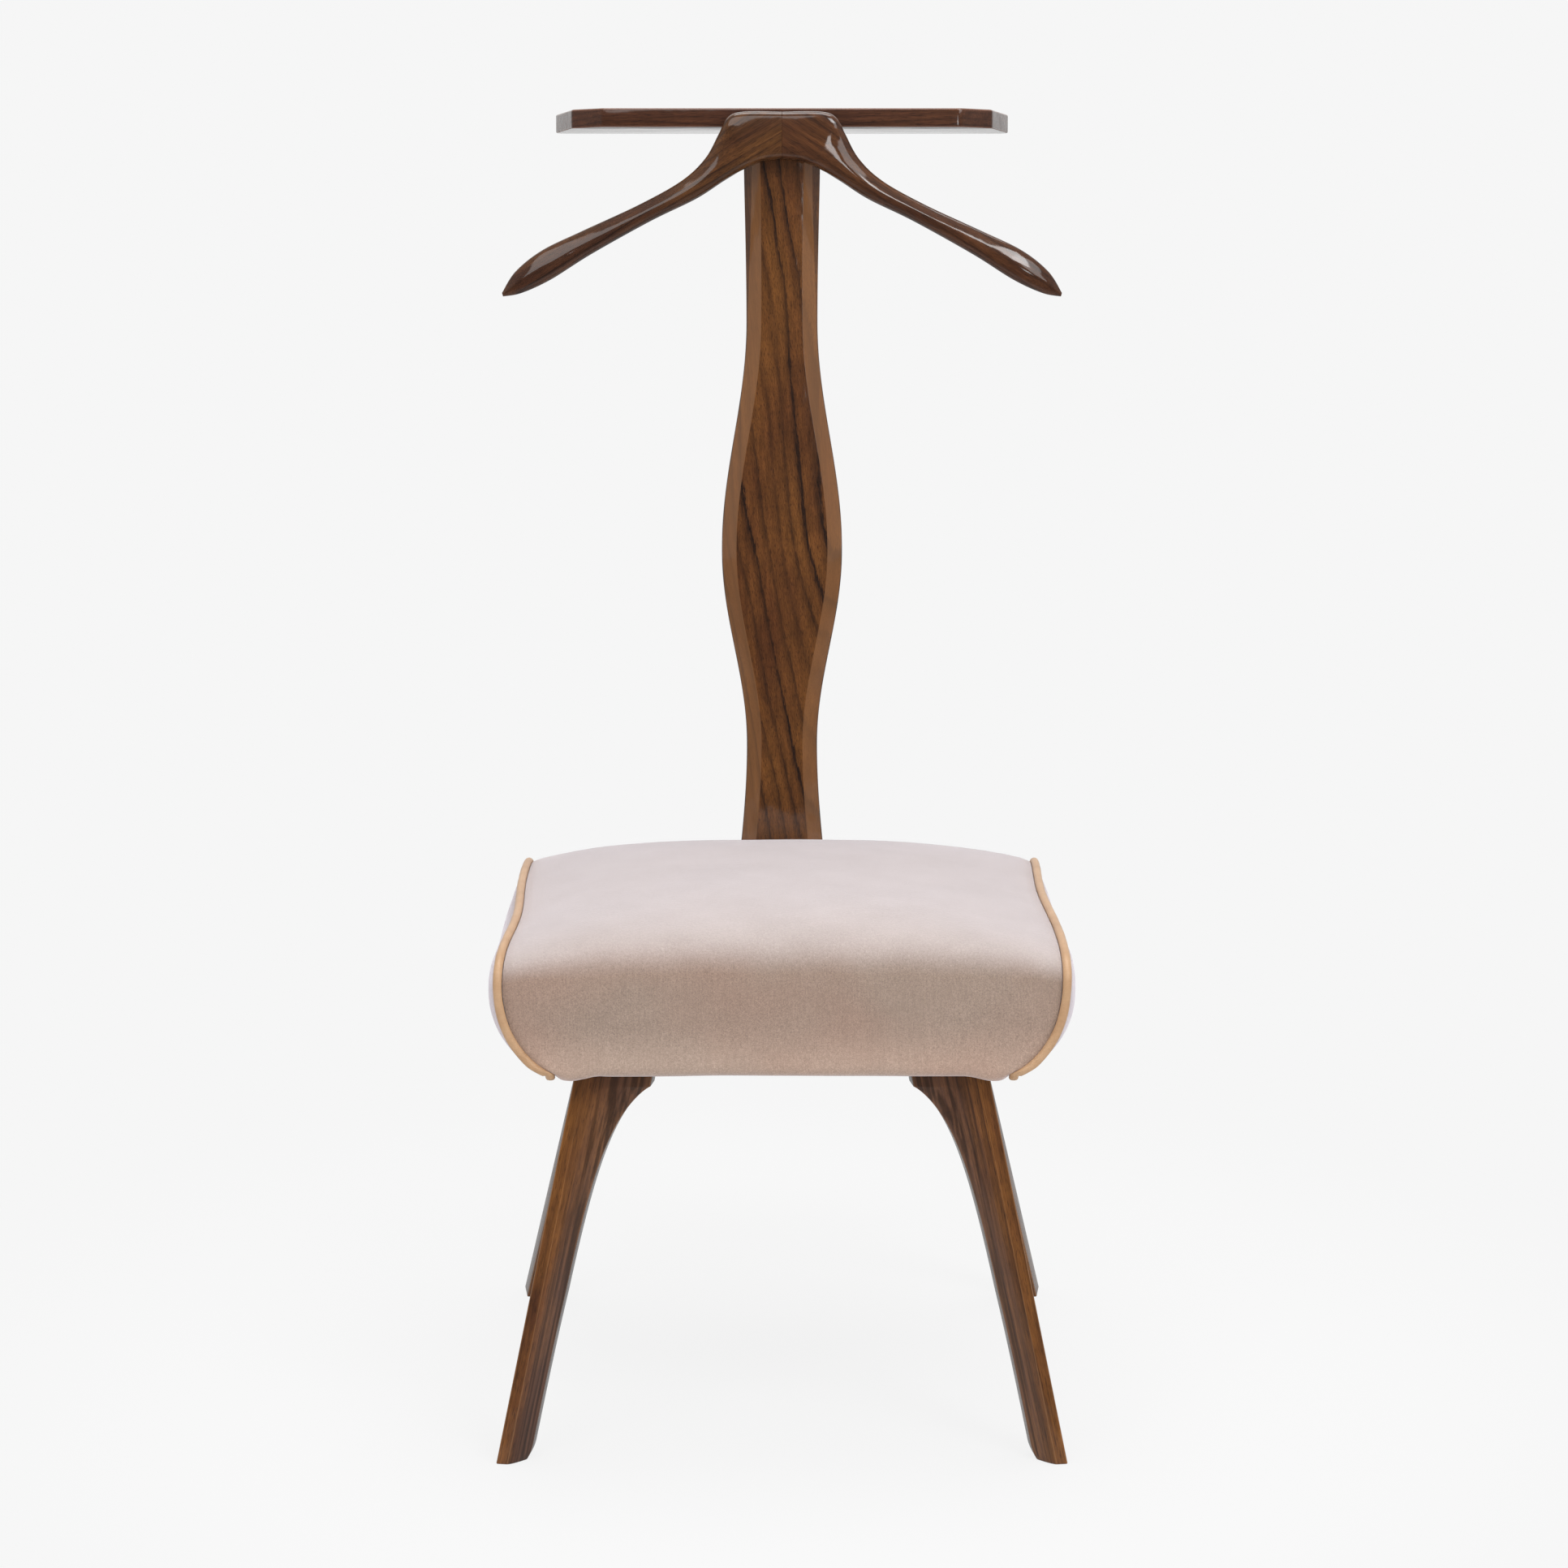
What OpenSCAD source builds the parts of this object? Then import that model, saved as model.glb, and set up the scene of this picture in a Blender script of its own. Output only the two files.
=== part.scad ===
// Clothes valet: an upholstered seat on four splayed legs, with a shaped back post that
// carries a mitred coat hanger and a small shelf. Millimetres, +Z up, front towards -Y.

/* [Overall] */
// Height of the shelf's top at its front edge
shelf_height = 1052; // [980:2:1120]
// Distance between the outer faces of the front feet
front_stance = 448; // [430:2:480]
// Distance between the outer faces of the rear feet
rear_stance = 467; // [450:1:490]
// Distance from the middle of the seat forward to the front of the front feet
front_reach = 206; // [200:1:220]
// Distance from the middle of the seat back to the back of the rear feet
rear_reach = 240; // [225:1:250]
// Backward lean of the post in degrees
post_lean = 3.5; // [2.5:0.25:5]

/* [Seat] */
// Width of the seat at its top piping
seat_w = 439; // [430:1:460]
// Depth of the seat
seat_d = 384; // [376:1:400]
// Height of the underside of the seat cover
seat_bottom = 307; // [290:1:325]
// Height of the cover from its underside to its top side edges
seat_thick = 102; // [92:1:112]
// Rise of the padding above the side edges
seat_crown = 24; // [15:1:32]
// Rise of the seat's top from its front to its back
seat_rake = 10; // [0:1:14]
// How far each side draws in towards the underside
side_draw = 40; // [32:1:44]
// How far each side panel swells past its piping
side_swell = 22; // [14:1:26]
// How far the lower edge of each side panel sags
side_sag = 4; // [0:0.5:6]
// Thickness of the velvet with its backing
velvet_t = 2; // [1.5:0.25:2.5]
// Diameter of the piping
piping_d = 7; // [5.6:0.2:7.4]

/* [Seat frame] */
// Padding between each side rail and the lower edge of the seat's side
side_pad = 11.5; // [9.5:0.5:16]
// Padding between the front or rear rail and the outside of the cover
cross_pad = 14; // [12:0.5:17]
// Height of the rails
rail_h = 55; // [52:1:58]
// Thickness of the front and rear rails
cross_rail_t = 26; // [24:1:30]
// Thickness of the side rails
side_rail_t = 22; // [20:1:26]
// Length of the corner blocks along each rail
block_leg = 58; // [54:1:64]
// Height of the corner blocks
block_h = 32; // [28:1:40]
// Width of a webbing strap
strap_w = 50; // [40:1:54]
// Thickness of a webbing strap
strap_t = 1.6; // [1.2:0.2:2]

/* [Legs] */
// Width of a leg at the foot
leg_w = 25.2; // [24:0.2:29]
// Thickness of a leg from front to back
leg_t = 29; // [27:1:31]
// How far the tops of the legs lie in from the sides of the frame
leg_side_inset = 7.5; // [5:0.5:12]
// Extra width of the knee at the top of a leg
knee_reach = 35; // [30:1:38]
// Length of the straight end of the knee
knee_end = 14; // [11:1:18]
// Height over which the knee's curve dies away
knee_fall = 35.5; // [30:0.5:42]
// Angle by which the legs are turned in plan
leg_toe = 8; // [5:0.5:10]
// Width of the flat on the outer part of a leg's face
leg_flat = 9; // [7:0.5:12]
// How far the inner edge of a leg's face is rounded back
leg_round = 13; // [9:0.5:15]

/* [Post] */
// Thickness of the post
post_t = 26; // [24:1:30]
// Width of the post at its lower end
post_foot_w = 85; // [78:1:92]
// Width of the post at its two waists
post_waist_w = 61.5; // [58:0.5:66]
// Width of the post at its swell
post_belly_w = 104.8; // [96:0.2:112]
// Width of the post at its upper end
post_head_w = 66.6; // [62:0.2:72]
// Height of the swell above the floor
belly_z = 674; // [655:1:690]
// Distance from the swell down to the lower waist
lower_waist_drop = 169; // [150:1:180]
// Distance from the swell up to the upper waist
upper_waist_rise = 198; // [180:1:215]
// Width of the bevels along the front of the post
bevel_w = 12; // [9:0.5:13.5]
// Depth of the bevels along the front of the post
bevel_d = 8.5; // [6:0.5:10]

/* [Hanger] */
// Width of the hanger from tip to tip
hanger_w = 480; // [450:2:510]
// Drop from the top of the yoke to the tips
hanger_drop = 156.5; // [146:0.5:166]
// Thickness of the yoke from front to back
yoke_t = 24; // [22:0.5:27]
// How far the tips swing forward of the yoke
hanger_sweep = 14; // [8:1:20]
// How far the top of the yoke lies below the top of the shelf
yoke_below_shelf = 4; // [2:0.5:7]

/* [Shelf] */
// Width of the shelf at its back edge
shelf_w = 403; // [380:1:420]
// Depth of the shelf
shelf_d = 80; // [70:1:92]
// Thickness of the shelf
shelf_t = 16; // [15:0.5:20]
// How far each end slants in from the back towards the front
shelf_slant = 20.5; // [12:0.5:24]
// Width of the cut front corners
corner_cut_w = 28; // [20:1:34]
// Depth of the cut front corners
corner_cut_d = 16; // [10:1:22]

/* [Fasteners] */
// Diameter of the glued dowels
dowel_d = 8; // [6:0.5:9]
// Length of the glued dowels
dowel_len = 46; // [40:1:50]
// Diameter of the two bolts that hold the post
bolt_d = 8; // [7:0.5:9]
// Height between the two bolts
bolt_spacing = 24; // [20:1:26]
// Diameter of the wood screws
screw_d = 4.5; // [4:0.25:5.5]
// Clearance around dowels, screws and bolts, on the radius
hole_clear = 0.15; // [0.1:0.05:0.3]
// Gap between soft pieces and their neighbours
soft_gap = 0.3; // [0.25:0.05:0.5]

/* [Hidden] */

// Heads of the wood screws, and the room around a head and past the end of a fixing
screw_head_d = 2 * screw_d;
screw_head_t = screw_d / 2;
head_room = 1;
end_room = 0.8;

// Number of sides of every drilled or turned round
round_fn = 32;
// Overrun of a cutting shape past the surface that it cuts
over = 1;

// Colours of the materials
walnut = "saddlebrown";
beech = "burlywood";
velvet = "thistle";
leather = "peru";
steel = "silver";
webbing = "darkkhaki";
foam = "lightyellow";

// The frame lies inside the padding, over its side rails and over its cross rails
frame_w = seat_w - 2 * side_draw - 2 * side_pad;
frame_d = seat_d - 2 * cross_pad;

// Seat heights, from the underside of the cover upwards
rail_bottom = seat_bottom + velvet_t;
rail_top = rail_bottom + rail_h;
hessian_z = rail_top + 2 * strap_t + 2 * soft_gap;
hessian_t = 1;
foam_bottom = hessian_z + hessian_t + soft_gap;
seat_mid = seat_bottom + seat_thick / 2;
seat_edge_top = seat_bottom + seat_thick;

// Rounding of the cover's lower front and rear edges
hem_r = 12;
// Depth of the seam's groove, which the piping fills
seam_dip = 4.5;
// Share of the half width at which the groove begins
dip_start = 0.93;
// Squareness of the section's upper half, in the middle and at the seams
square_mid = 4.6;
square_end = 6;
// Exponent of the crown across the seat, higher for a flatter middle
crown_fullness = 2.8;
// Stations across the right half of the seat, as shares of the half width
seat_stations = [0, 0.25, 0.5, 0.7, 0.85, dip_start, 0.955, 0.98, 1];
// The cover turns in under the frame as far as this from the middle
hem_reach = frame_d / 2 - seam_dip;
// Steps along the parts of the seat's outline
hem_steps = 3;
wall_steps = 2;
top_steps = 22;

// The post starts a little above the underside of the cover
post_foot_rise = 8;
post_foot_z = seat_bottom + post_foot_rise;
// The post's front clears the back of the cover at the top of its lower rounding
post_front_y = seat_d / 2 + soft_gap - (seat_bottom + hem_r - post_foot_z) * tan(post_lean);
// Length of the post's front face up to the underside of the shelf
shelf_top_run = (shelf_height - post_foot_z) / cos(post_lean);
post_len = shelf_top_run - shelf_t;
// Height in the post's own frame of the top of the hanger's yoke
yoke_top_run = shelf_top_run - yoke_below_shelf;

// Centre of the whole object in Y, so that the origin lies in the middle of its box
front_limit = -front_reach;
back_limit = post_front_y + shelf_top_run * sin(post_lean) + shelf_d * cos(post_lean);
shift_y = -(front_limit + back_limit) / 2;

// Small helpers for curves

function ease(t) = (1 - cos(180 * t)) / 2;
function blend(a, b, t) = a + (b - a) * t;
function clamp01(t) = min(max(t, 0), 1);
function smooth(t) = clamp01(t) * clamp01(t) * (3 - 2 * clamp01(t));
function backwards(list) = [for (i = [len(list) - 1:-1:0]) list[i]];
function signed_power(base, p) = sign(base) * pow(abs(base), p);

// Middle of a ring of points
function middle(ring) = [for (q = ring) 1] * ring / len(ring);

// A smooth curve through the entries of a list, at the place s from 0 to its last index
function curve_at(list, s) =
  let(last = len(list) - 1, i = min(floor(s), last - 1), t = s - i)
  let(a = list[max(i - 1, 0)], b = list[i], c = list[i + 1], d = list[min(i + 2, last)])
  0.5 * (2 * b + (c - a) * t + (2 * a - 5 * b + 4 * c - d) * t * t
    + (3 * b - a - 3 * c + d) * t * t * t);

// Solid through rings of equally many points, each ring anticlockwise seen from the last one,
// with each end closed around its middle
module loft(rings) {
  n = len(rings[0]);
  m = len(rings);
  last = (m - 1) * n;
  sides = [for (i = [0:m - 2], j = [0:n - 1])
    let(a = i * n + j, b = i * n + (j + 1) % n, c = a + n, d = b + n)
    each [[a, c, d], [a, d, b]]];
  ends = [for (j = [0:n - 1])
    let(k = (j + 1) % n)
    each [[j, k, m * n], [last + k, last + j, m * n + 1]]];
  polyhedron(points = concat([for (r = rings) each r], [middle(rings[0]), middle(rings[m - 1])]),
    faces = concat(sides, ends));
}

// Sheet with a thickness between two grids of equally many rows and points
module sheet(outer, inner) {
  m = len(outer);
  n = len(outer[0]);
  k = m * n;
  skins = [for (i = [0:m - 2], j = [0:n - 2])
    let(a = i * n + j, b = a + n, c = b + 1, d = a + 1)
    each [[a, d, c], [a, c, b], [k + a, k + c, k + d], [k + a, k + b, k + c]]];
  end_edges = [for (j = [0:n - 2])
    let(a = j, b = (m - 1) * n + j)
    each [[k + a, k + a + 1, a + 1], [k + a, a + 1, a],
      [k + b, b + 1, k + b + 1], [k + b, b, b + 1]]];
  long_edges = [for (i = [0:m - 2])
    let(a = i * n, b = a + n, c = a + n - 1, d = c + n)
    each [[b, k + b, k + a], [b, k + a, a], [d, k + c, k + d], [d, c, k + c]]];
  polyhedron(points = concat([for (r = outer) each r], [for (r = inner) each r]),
    faces = concat(skins, end_edges, long_edges));
}

// Puts a piece from the feet's frame into the object's frame
module placed() {
  translate([0, shift_y, 0]) children();
}

// Puts a piece from the post's frame, with Z up its front face, into the object's frame
module on_post() {
  placed() translate([0, post_front_y, post_foot_z]) rotate([-post_lean, 0, 0]) children();
}

// Cylinder along +Z from a place, used for dowels, screws and their holes
module peg(place, d, len) {
  translate(place) cylinder(d = d, h = len, $fn = round_fn);
}

// Cylinder along +Y from a place
module peg_y(place, d, len) {
  translate(place) rotate([-90, 0, 0]) cylinder(d = d, h = len, $fn = round_fn);
}

// The upholstered seat

// Half width of the seat's seam at a height; most of the draw lies near the underside
draw_power = 3.6;
function seam_x(z) =
  seat_w / 2 - side_draw * pow(clamp01((seat_edge_top - z) / seat_thick), draw_power);

// Outline of the seat at a share u of its half width, drawn in by t, from the front hem over
// the top to the rear hem, as points in Y and Z
function seat_outline(u, t) =
  let(a = abs(u), dip = seam_dip * smooth((a - dip_start) / (1 - dip_start)))
  let(half_d = seat_d / 2 - t - dip, r = hem_r - t, low = seat_bottom + t + dip / 2)
  let(rise = seat_edge_top - seat_mid + seat_crown * (1 - pow(a, crown_fullness)) - t - dip)
  let(p = 2 / blend(square_mid, square_end, a * a))
  let(hem = [for (i = [0:hem_steps])
    let(f = 90 * i / hem_steps) [-half_d + r - r * sin(f), low + r - r * cos(f)]])
  let(wall = [for (i = [1:wall_steps - 1]) [-half_d, blend(low + r, seat_mid, i / wall_steps)]])
  let(top = [for (i = [0:top_steps])
    let(f = 180 * i / top_steps, y = -half_d * signed_power(cos(f), p))
    [y, seat_mid + (rise + seat_rake * y / seat_d) * pow(sin(f), p)]])
  let(front = concat([[-hem_reach, low]], hem, wall))
  concat(front, top, [for (q = backwards(front)) [-q[0], q[1]]]);

// The same outline closed along the underside
function closed_outline(u, t) =
  let(o = seat_outline(u, t))
  concat(o, [for (i = [1:3]) [hem_reach * (1 - i / 2), o[0][1]]]);

// Row of points across the seat at a share u
function seat_row(u, t) =
  [for (q = seat_outline(u, t)) [u * (seam_x(q[1]) - soft_gap / 2), q[0], q[1]]];

// Rings of the swelling end of the seat at the right, from its rim to its middle, set in by
// one amount at the rim and by another past it. The lower half stays fuller than the upper
// half and sags a little just behind the rim.
end_shares = [0, 0.06, 0.16, 0.36, 0.66, 0.95];
low_fullness = 1.6;
low_swell = 1.1;
high_swell = 0.35;
function end_height(z, share) =
  let(low = clamp01((seat_mid - z) / (seat_thick / 2)), s = min(share / end_shares[3], 1))
  z > seat_mid ? blend(z, seat_mid, share)
  : blend(z, seat_mid, pow(share, low_fullness)) - 4 * side_sag * s * (1 - s) * pow(low, 4);
function end_ring(share, t, rim_inset, inset) =
  [for (q = backwards(closed_outline(1, t)))
    let(y = q[0] * (1 - share), z = end_height(q[1], share))
    let(rise = clamp01((z - seat_bottom) / seat_thick), grown = 1 - pow(1 - share, 6))
    let(swell = side_swell * grown * blend(low_swell, high_swell, rise))
    [seam_x(z) + swell - blend(rim_inset, inset, smooth(share / end_shares[2])), y, z]];

// The stations from the left seam to the right seam
seat_rows = concat([for (u = backwards(seat_stations)) -u],
  [for (i = [1:len(seat_stations) - 1]) seat_stations[i]]);

// One strip of velvet runs from the front hem over the top to the rear hem
module velvet_panel() {
  color(velvet) placed() difference() {
    sheet([for (u = seat_rows) seat_row(u, 0)], [for (u = seat_rows) seat_row(u, velvet_t)]);
    bolt_holes(bolt_d + 2 * soft_gap);
  }
}

module side_panel() {
  out = -soft_gap / 2;
  inner = [for (s = backwards(end_shares)) end_ring(s, velvet_t, out, velvet_t + out)];
  outer = [for (s = end_shares) end_ring(s, 0, out, out)];
  color(velvet) placed() loft(concat(inner, outer));
}

module side_panel_left() { mirror([1, 0, 0]) side_panel(); }

module side_panel_right() { side_panel(); }

// The piping follows the seam, standing on the edges of the velvet
module piping() {
  r = piping_d / 2;
  sides = 8;
  o = seat_outline(1, -r - 2 * soft_gap);
  n = len(o) - 2;
  path = [for (i = [1:n]) [seam_x(o[i][1]), o[i][0], o[i][1]]];
  rings = [for (i = [0:n - 1])
    let(run = path[min(i + 1, n - 1)] - path[max(i - 1, 0)], t = run / norm(run))
    let(side = cross(t, [1, 0, 0]), a = side / norm(side), b = cross(t, a))
    [for (j = [0:sides - 1])
      path[i] + r * (cos(360 * j / sides) * a + sin(360 * j / sides) * b)]];
  color(leather) placed() loft(rings);
}

module piping_left() { mirror([1, 0, 0]) piping(); }

module piping_right() { piping(); }

// Whole padding of the seat, just inside the cover
module padding_body() {
  t = velvet_t + 2 * soft_gap;
  rim = soft_gap / 2;
  ends = [for (s = backwards(end_shares)) end_ring(s, t, rim, t + rim)];
  left_ends = [for (ring = ends) [for (q = ring) [-q[0], q[1], q[2]]]];
  across = [for (u = seat_rows)
    [for (q = backwards(closed_outline(u, t)))
      [u * (seam_x(q[1]) - t), q[0], q[1]]]];
  loft(concat(left_ends, across, backwards(ends)));
}

module seat_foam() {
  color(foam) placed() difference() {
    padding_body();
    translate([-seat_w, -seat_d, 0]) cube([2 * seat_w, 2 * seat_d, foam_bottom]);
  }
}

module edge_padding() {
  pocket_w = frame_w + 2 * soft_gap;
  pocket_d = frame_d + 2 * soft_gap;
  top = foam_bottom - soft_gap;
  color(foam) placed() difference() {
    padding_body();
    translate([-seat_w, -seat_d, top]) cube([2 * seat_w, 2 * seat_d, 2 * seat_thick]);
    translate([-pocket_w / 2, -pocket_d / 2, 0]) cube([pocket_w, pocket_d, top + over]);
    bolt_holes(bolt_d + 2 * soft_gap);
  }
}

module hessian_panel() {
  color(webbing) placed() translate([-frame_w / 2, -frame_d / 2, hessian_z])
    cube([frame_w, frame_d, hessian_t]);
}

// Three straps each way, at this share of the opening between the rails from each other
strap_share = 0.28;

// The straps from front to back lie on the rails
module webbing_lengthways() {
  pitch = (frame_w - 2 * side_rail_t) * strap_share;
  color(webbing) placed() for (i = [-1:1])
    translate([i * pitch - strap_w / 2, -frame_d / 2, rail_top]) cube([strap_w, frame_d, strap_t]);
}

// The straps from side to side lie on the first ones
module webbing_crossways() {
  pitch = (frame_d - 2 * cross_rail_t) * strap_share;
  z = rail_top + strap_t + soft_gap;
  color(webbing) placed() for (i = [-1:1])
    translate([-frame_w / 2, i * pitch - strap_w / 2, z]) cube([frame_w, strap_w, strap_t]);
}

// Thin black cloth under the frame, cut out around the legs
module dust_cover() {
  t = 0.8;
  z = seat_bottom + velvet_t - t;
  w = 2 * (seam_x(z) - 2 * soft_gap);
  d = 2 * (hem_reach - over);
  color("dimgray") placed() difference() {
    translate([-w / 2, -d / 2, z]) cube([w, d, t]);
    for (sx = [-1, 1], sy = [-1, 1])
      translate([sx * cut_mid_x, sy * (frame_d / 2 - cut_d / 2), z])
        cube([cut_w, cut_d + 2 * over, 4 * t], center = true);
  }
}

// The seat's frame

// Places of the two dowels in a rail joint, above the rail's underside
rail_dowel_rises = [rail_h * 0.28, rail_h * 0.72];
rail_dowel_x = frame_w / 2 - side_rail_t / 2;
// Depth of a rail dowel in the cross rail
rail_dowel_in = 16;

module rail_dowel_set(d, len, extra) {
  y = frame_d / 2 - cross_rail_t + rail_dowel_in + extra;
  for (sx = [-1, 1], sy = [-1, 1], rise = rail_dowel_rises)
    translate([sx * rail_dowel_x, sy * y, rail_bottom + rise]) rotate([sy * 90, 0, 0])
      cylinder(d = d, h = len + 2 * extra, $fn = round_fn);
}

module rail_dowels() {
  color(beech) placed() rail_dowel_set(dowel_d, dowel_len, 0);
}

module cross_rail_body(sy) {
  translate([-frame_w / 2, sy * (frame_d - cross_rail_t) / 2 - cross_rail_t / 2, rail_bottom])
    cube([frame_w, cross_rail_t, rail_h]);
}

module rail_front() {
  color(beech) placed() difference() {
    cross_rail_body(-1);
    rail_dowel_set(dowel_d + 2 * hole_clear, dowel_len, end_room);
    leg_fixing_holes(-1);
  }
}

module rail_rear() {
  color(beech) placed() difference() {
    cross_rail_body(1);
    rail_dowel_set(dowel_d + 2 * hole_clear, dowel_len, end_room);
    leg_fixing_holes(1);
    bolt_holes(bolt_d + 2 * hole_clear);
  }
}

module side_rail(sx) {
  len = frame_d - 2 * cross_rail_t;
  color(beech) placed() difference() {
    translate([sx * (frame_w - side_rail_t) / 2 - side_rail_t / 2, -len / 2, rail_bottom])
      cube([side_rail_t, len, rail_h]);
    rail_dowel_set(dowel_d + 2 * hole_clear, dowel_len, end_room);
  }
}

module rail_left() { side_rail(-1); }

module rail_right() { side_rail(1); }

module corner_block(sx, sy) {
  x = sx * (frame_w / 2 - side_rail_t);
  y = sy * (frame_d / 2 - cross_rail_t);
  color(beech) placed() translate([x, y, rail_bottom]) linear_extrude(block_h)
    polygon([[0, 0], [-sx * block_leg, 0], [0, -sy * block_leg]]);
}

module corner_block_front_left() { corner_block(-1, -1); }

module corner_block_front_right() { corner_block(1, -1); }

module corner_block_rear_left() { corner_block(-1, 1); }

module corner_block_rear_right() { corner_block(1, 1); }

// The legs

// Outer top corner of every leg, set in from the frame's front or rear face
leg_inset = 10.5;
leg_top_x = frame_w / 2 - leg_side_inset;
leg_top_y = frame_d / 2 - leg_inset;
// Height of the knee's lower corner
knee_z = rail_bottom - knee_end;
// Taper of a leg towards the floor and the height over which it dies away
foot_taper = 1;
foot_taper_h = 130;
// Rounding of the inner corner at the floor
foot_round = 2.5;
foot_round_h = 12;
// Small chamfer along a leg's other edges
arris = 1;

// Width of a leg at a height, from its outer edge to its inner edge
function leg_width(z) =
  let(taper = foot_taper * (1 - pow(clamp01(z / foot_taper_h), 3)))
  let(corner = foot_round * pow(clamp01(1 - z / foot_round_h), 2))
  leg_w - taper - corner + knee_reach * exp(-pow(max(knee_z - z, 0) / knee_fall, 0.85));

// Section of the front left leg at a height, anticlockwise from above, about its outer
// front corner, with X inwards
function leg_section(z) =
  let(w = leg_width(z), back = blend(leg_round, 0.6 * leg_round, clamp01(z / knee_z)))
  let(face = [for (i = [0:5]) let(s = i / 5) [blend(leg_flat, w, s), back * pow(s, 1.3)]])
  concat([[0, arris], [arris, 0]], face,
    [[w, leg_t - arris], [w - arris, leg_t], [arris, leg_t], [0, leg_t - arris]]);

// Heights of a leg's sections, closer together at the foot and along the knee's curve
knee_curve_h = 90;
curve_start = knee_z - knee_curve_h;
leg_heights = concat([-over, foot_round_h / 4, 0.6 * foot_round_h, foot_round_h],
  [for (i = [1:6]) blend(foot_round_h, curve_start, i / 6)],
  [for (i = [1:9]) blend(curve_start, knee_z, ease(i / 18) * 2)], [rail_bottom]);

// Turns a point of a leg's section in plan and puts it at a corner of the stance
function leg_point(q, z, foot_x, foot_y) =
  let(s = z / rail_bottom, x = blend(foot_x, leg_top_x, s))
  let(y = blend(foot_y, leg_top_y, s) - toe_set)
  [-x + q[0] * cos(leg_toe) + q[1] * sin(leg_toe),
    -y - q[0] * sin(leg_toe) + q[1] * cos(leg_toe), z];
// Keeps the foremost point of a toed foot on the stance line
toe_set = leg_flat * sin(leg_toe);

module leg_body(foot_x, foot_y) {
  difference() {
    loft([for (z = leg_heights) [for (q = leg_section(z)) leg_point(q, z, foot_x, foot_y)]]);
    translate([-2 * foot_x, -2 * foot_y, -2 * leg_w]) cube([4 * foot_x, 4 * foot_y, 2 * leg_w]);
  }
}

// Distance of a leg's fixings from its outer side face, from its outer edge and from the
// knee's end
leg_fix_in = 9;
leg_dowel_edge = 16;
leg_dowel_pitch = 24;
leg_screw_edge = 11;
leg_dowel_xs = [leg_top_x - leg_dowel_edge, leg_top_x - leg_dowel_edge - leg_dowel_pitch];
leg_fix_y = leg_top_y - leg_fix_in;
// Depth of a leg dowel in the leg
leg_dowel_in = 20;
leg_screw_x = leg_top_x - leg_w - knee_reach + leg_screw_edge;
leg_screw_len = 42;
leg_screw_sunk = 3;
leg_screw_head_z = knee_z + leg_screw_sunk;
// Cut-outs of the dust cover around the legs
cut_margin = 5;
cut_w = leg_w + knee_reach + 2 * cut_margin;
cut_d = leg_inset + leg_t + cut_margin;
cut_mid_x = leg_top_x + cut_margin - cut_w / 2;

module leg_fixing_holes(sy) {
  for (sx = [-1, 1]) scale([sx, sy, 1]) leg_fixing_cuts();
}

// Cuts for one leg's fixings, in the leg and in its rail, at the rear right
module leg_fixing_cuts() {
  for (x = leg_dowel_xs)
    peg([x, leg_fix_y, rail_bottom - leg_dowel_in - end_room], dowel_d + 2 * hole_clear,
      dowel_len + 2 * end_room);
  peg([leg_screw_x, leg_fix_y, 0], screw_d + 2 * hole_clear, leg_screw_head_z + leg_screw_len);
}

module leg(sx, sy, foot_x, foot_y) {
  color(walnut) placed() difference() {
    scale([-sx, -sy, 1]) leg_body(foot_x, foot_y);
    scale([sx, sy, 1]) {
      leg_fixing_cuts();
      peg([leg_screw_x, leg_fix_y, 0], screw_head_d + head_room, leg_screw_head_z);
    }
  }
}

module front_leg_left() { leg(-1, -1, front_stance / 2, front_reach); }

module front_leg_right() { leg(1, -1, front_stance / 2, front_reach); }

module rear_leg_left() { leg(-1, 1, rear_stance / 2, rear_reach); }

module rear_leg_right() { leg(1, 1, rear_stance / 2, rear_reach); }

module leg_dowels() {
  color(beech) placed() for (sx = [-1, 1], sy = [-1, 1], x = leg_dowel_xs)
    peg([sx * x, sy * leg_fix_y, rail_bottom - leg_dowel_in], dowel_d, dowel_len);
}

// Wood screw along +Z with its countersunk head below the origin and its shank above
module wood_screw(len) {
  point = 2 * screw_d;
  translate([0, 0, -screw_head_t])
    cylinder(d1 = screw_head_d, d2 = screw_d, h = screw_head_t, $fn = round_fn);
  peg([0, 0, -screw_head_t / 2], screw_d, len - point + screw_head_t / 2);
  translate([0, 0, len - point]) cylinder(d1 = screw_d, d2 = screw_d / 6, h = point, $fn = round_fn);
}

module leg_screws() {
  color(steel) placed() for (sx = [-1, 1], sy = [-1, 1])
    translate([sx * leg_screw_x, sy * leg_fix_y, leg_screw_head_z]) wood_screw(leg_screw_len - end_room);
}

// The post with the bolts that hold it to the rear rail

// The bolts lie above and below the middle between the post's foot and the rail's top
bolt_mid_z = (post_foot_z + rail_top) / 2;
bolt_heights = [bolt_mid_z - bolt_spacing / 2, bolt_mid_z + bolt_spacing / 2];
washer_d = 2 * bolt_d;
washer_t = 1.6;
head_d = 1.7 * bolt_d;
head_t = 0.45 * bolt_d;
nut_d = 1.85 * bolt_d;
nut_t = 0.8 * bolt_d;
bolt_tail = 3;
rail_inner_y = frame_d / 2 - cross_rail_t;
// Plane of the spot faces in the post's back, square to the bolts
spot_depth = 3.5;
spot_y = post_front_y + post_t - spot_depth;

module bolt_holes(d) {
  for (z = bolt_heights) peg_y([0, rail_inner_y - over, z], d, seat_d / 2);
}

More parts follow.
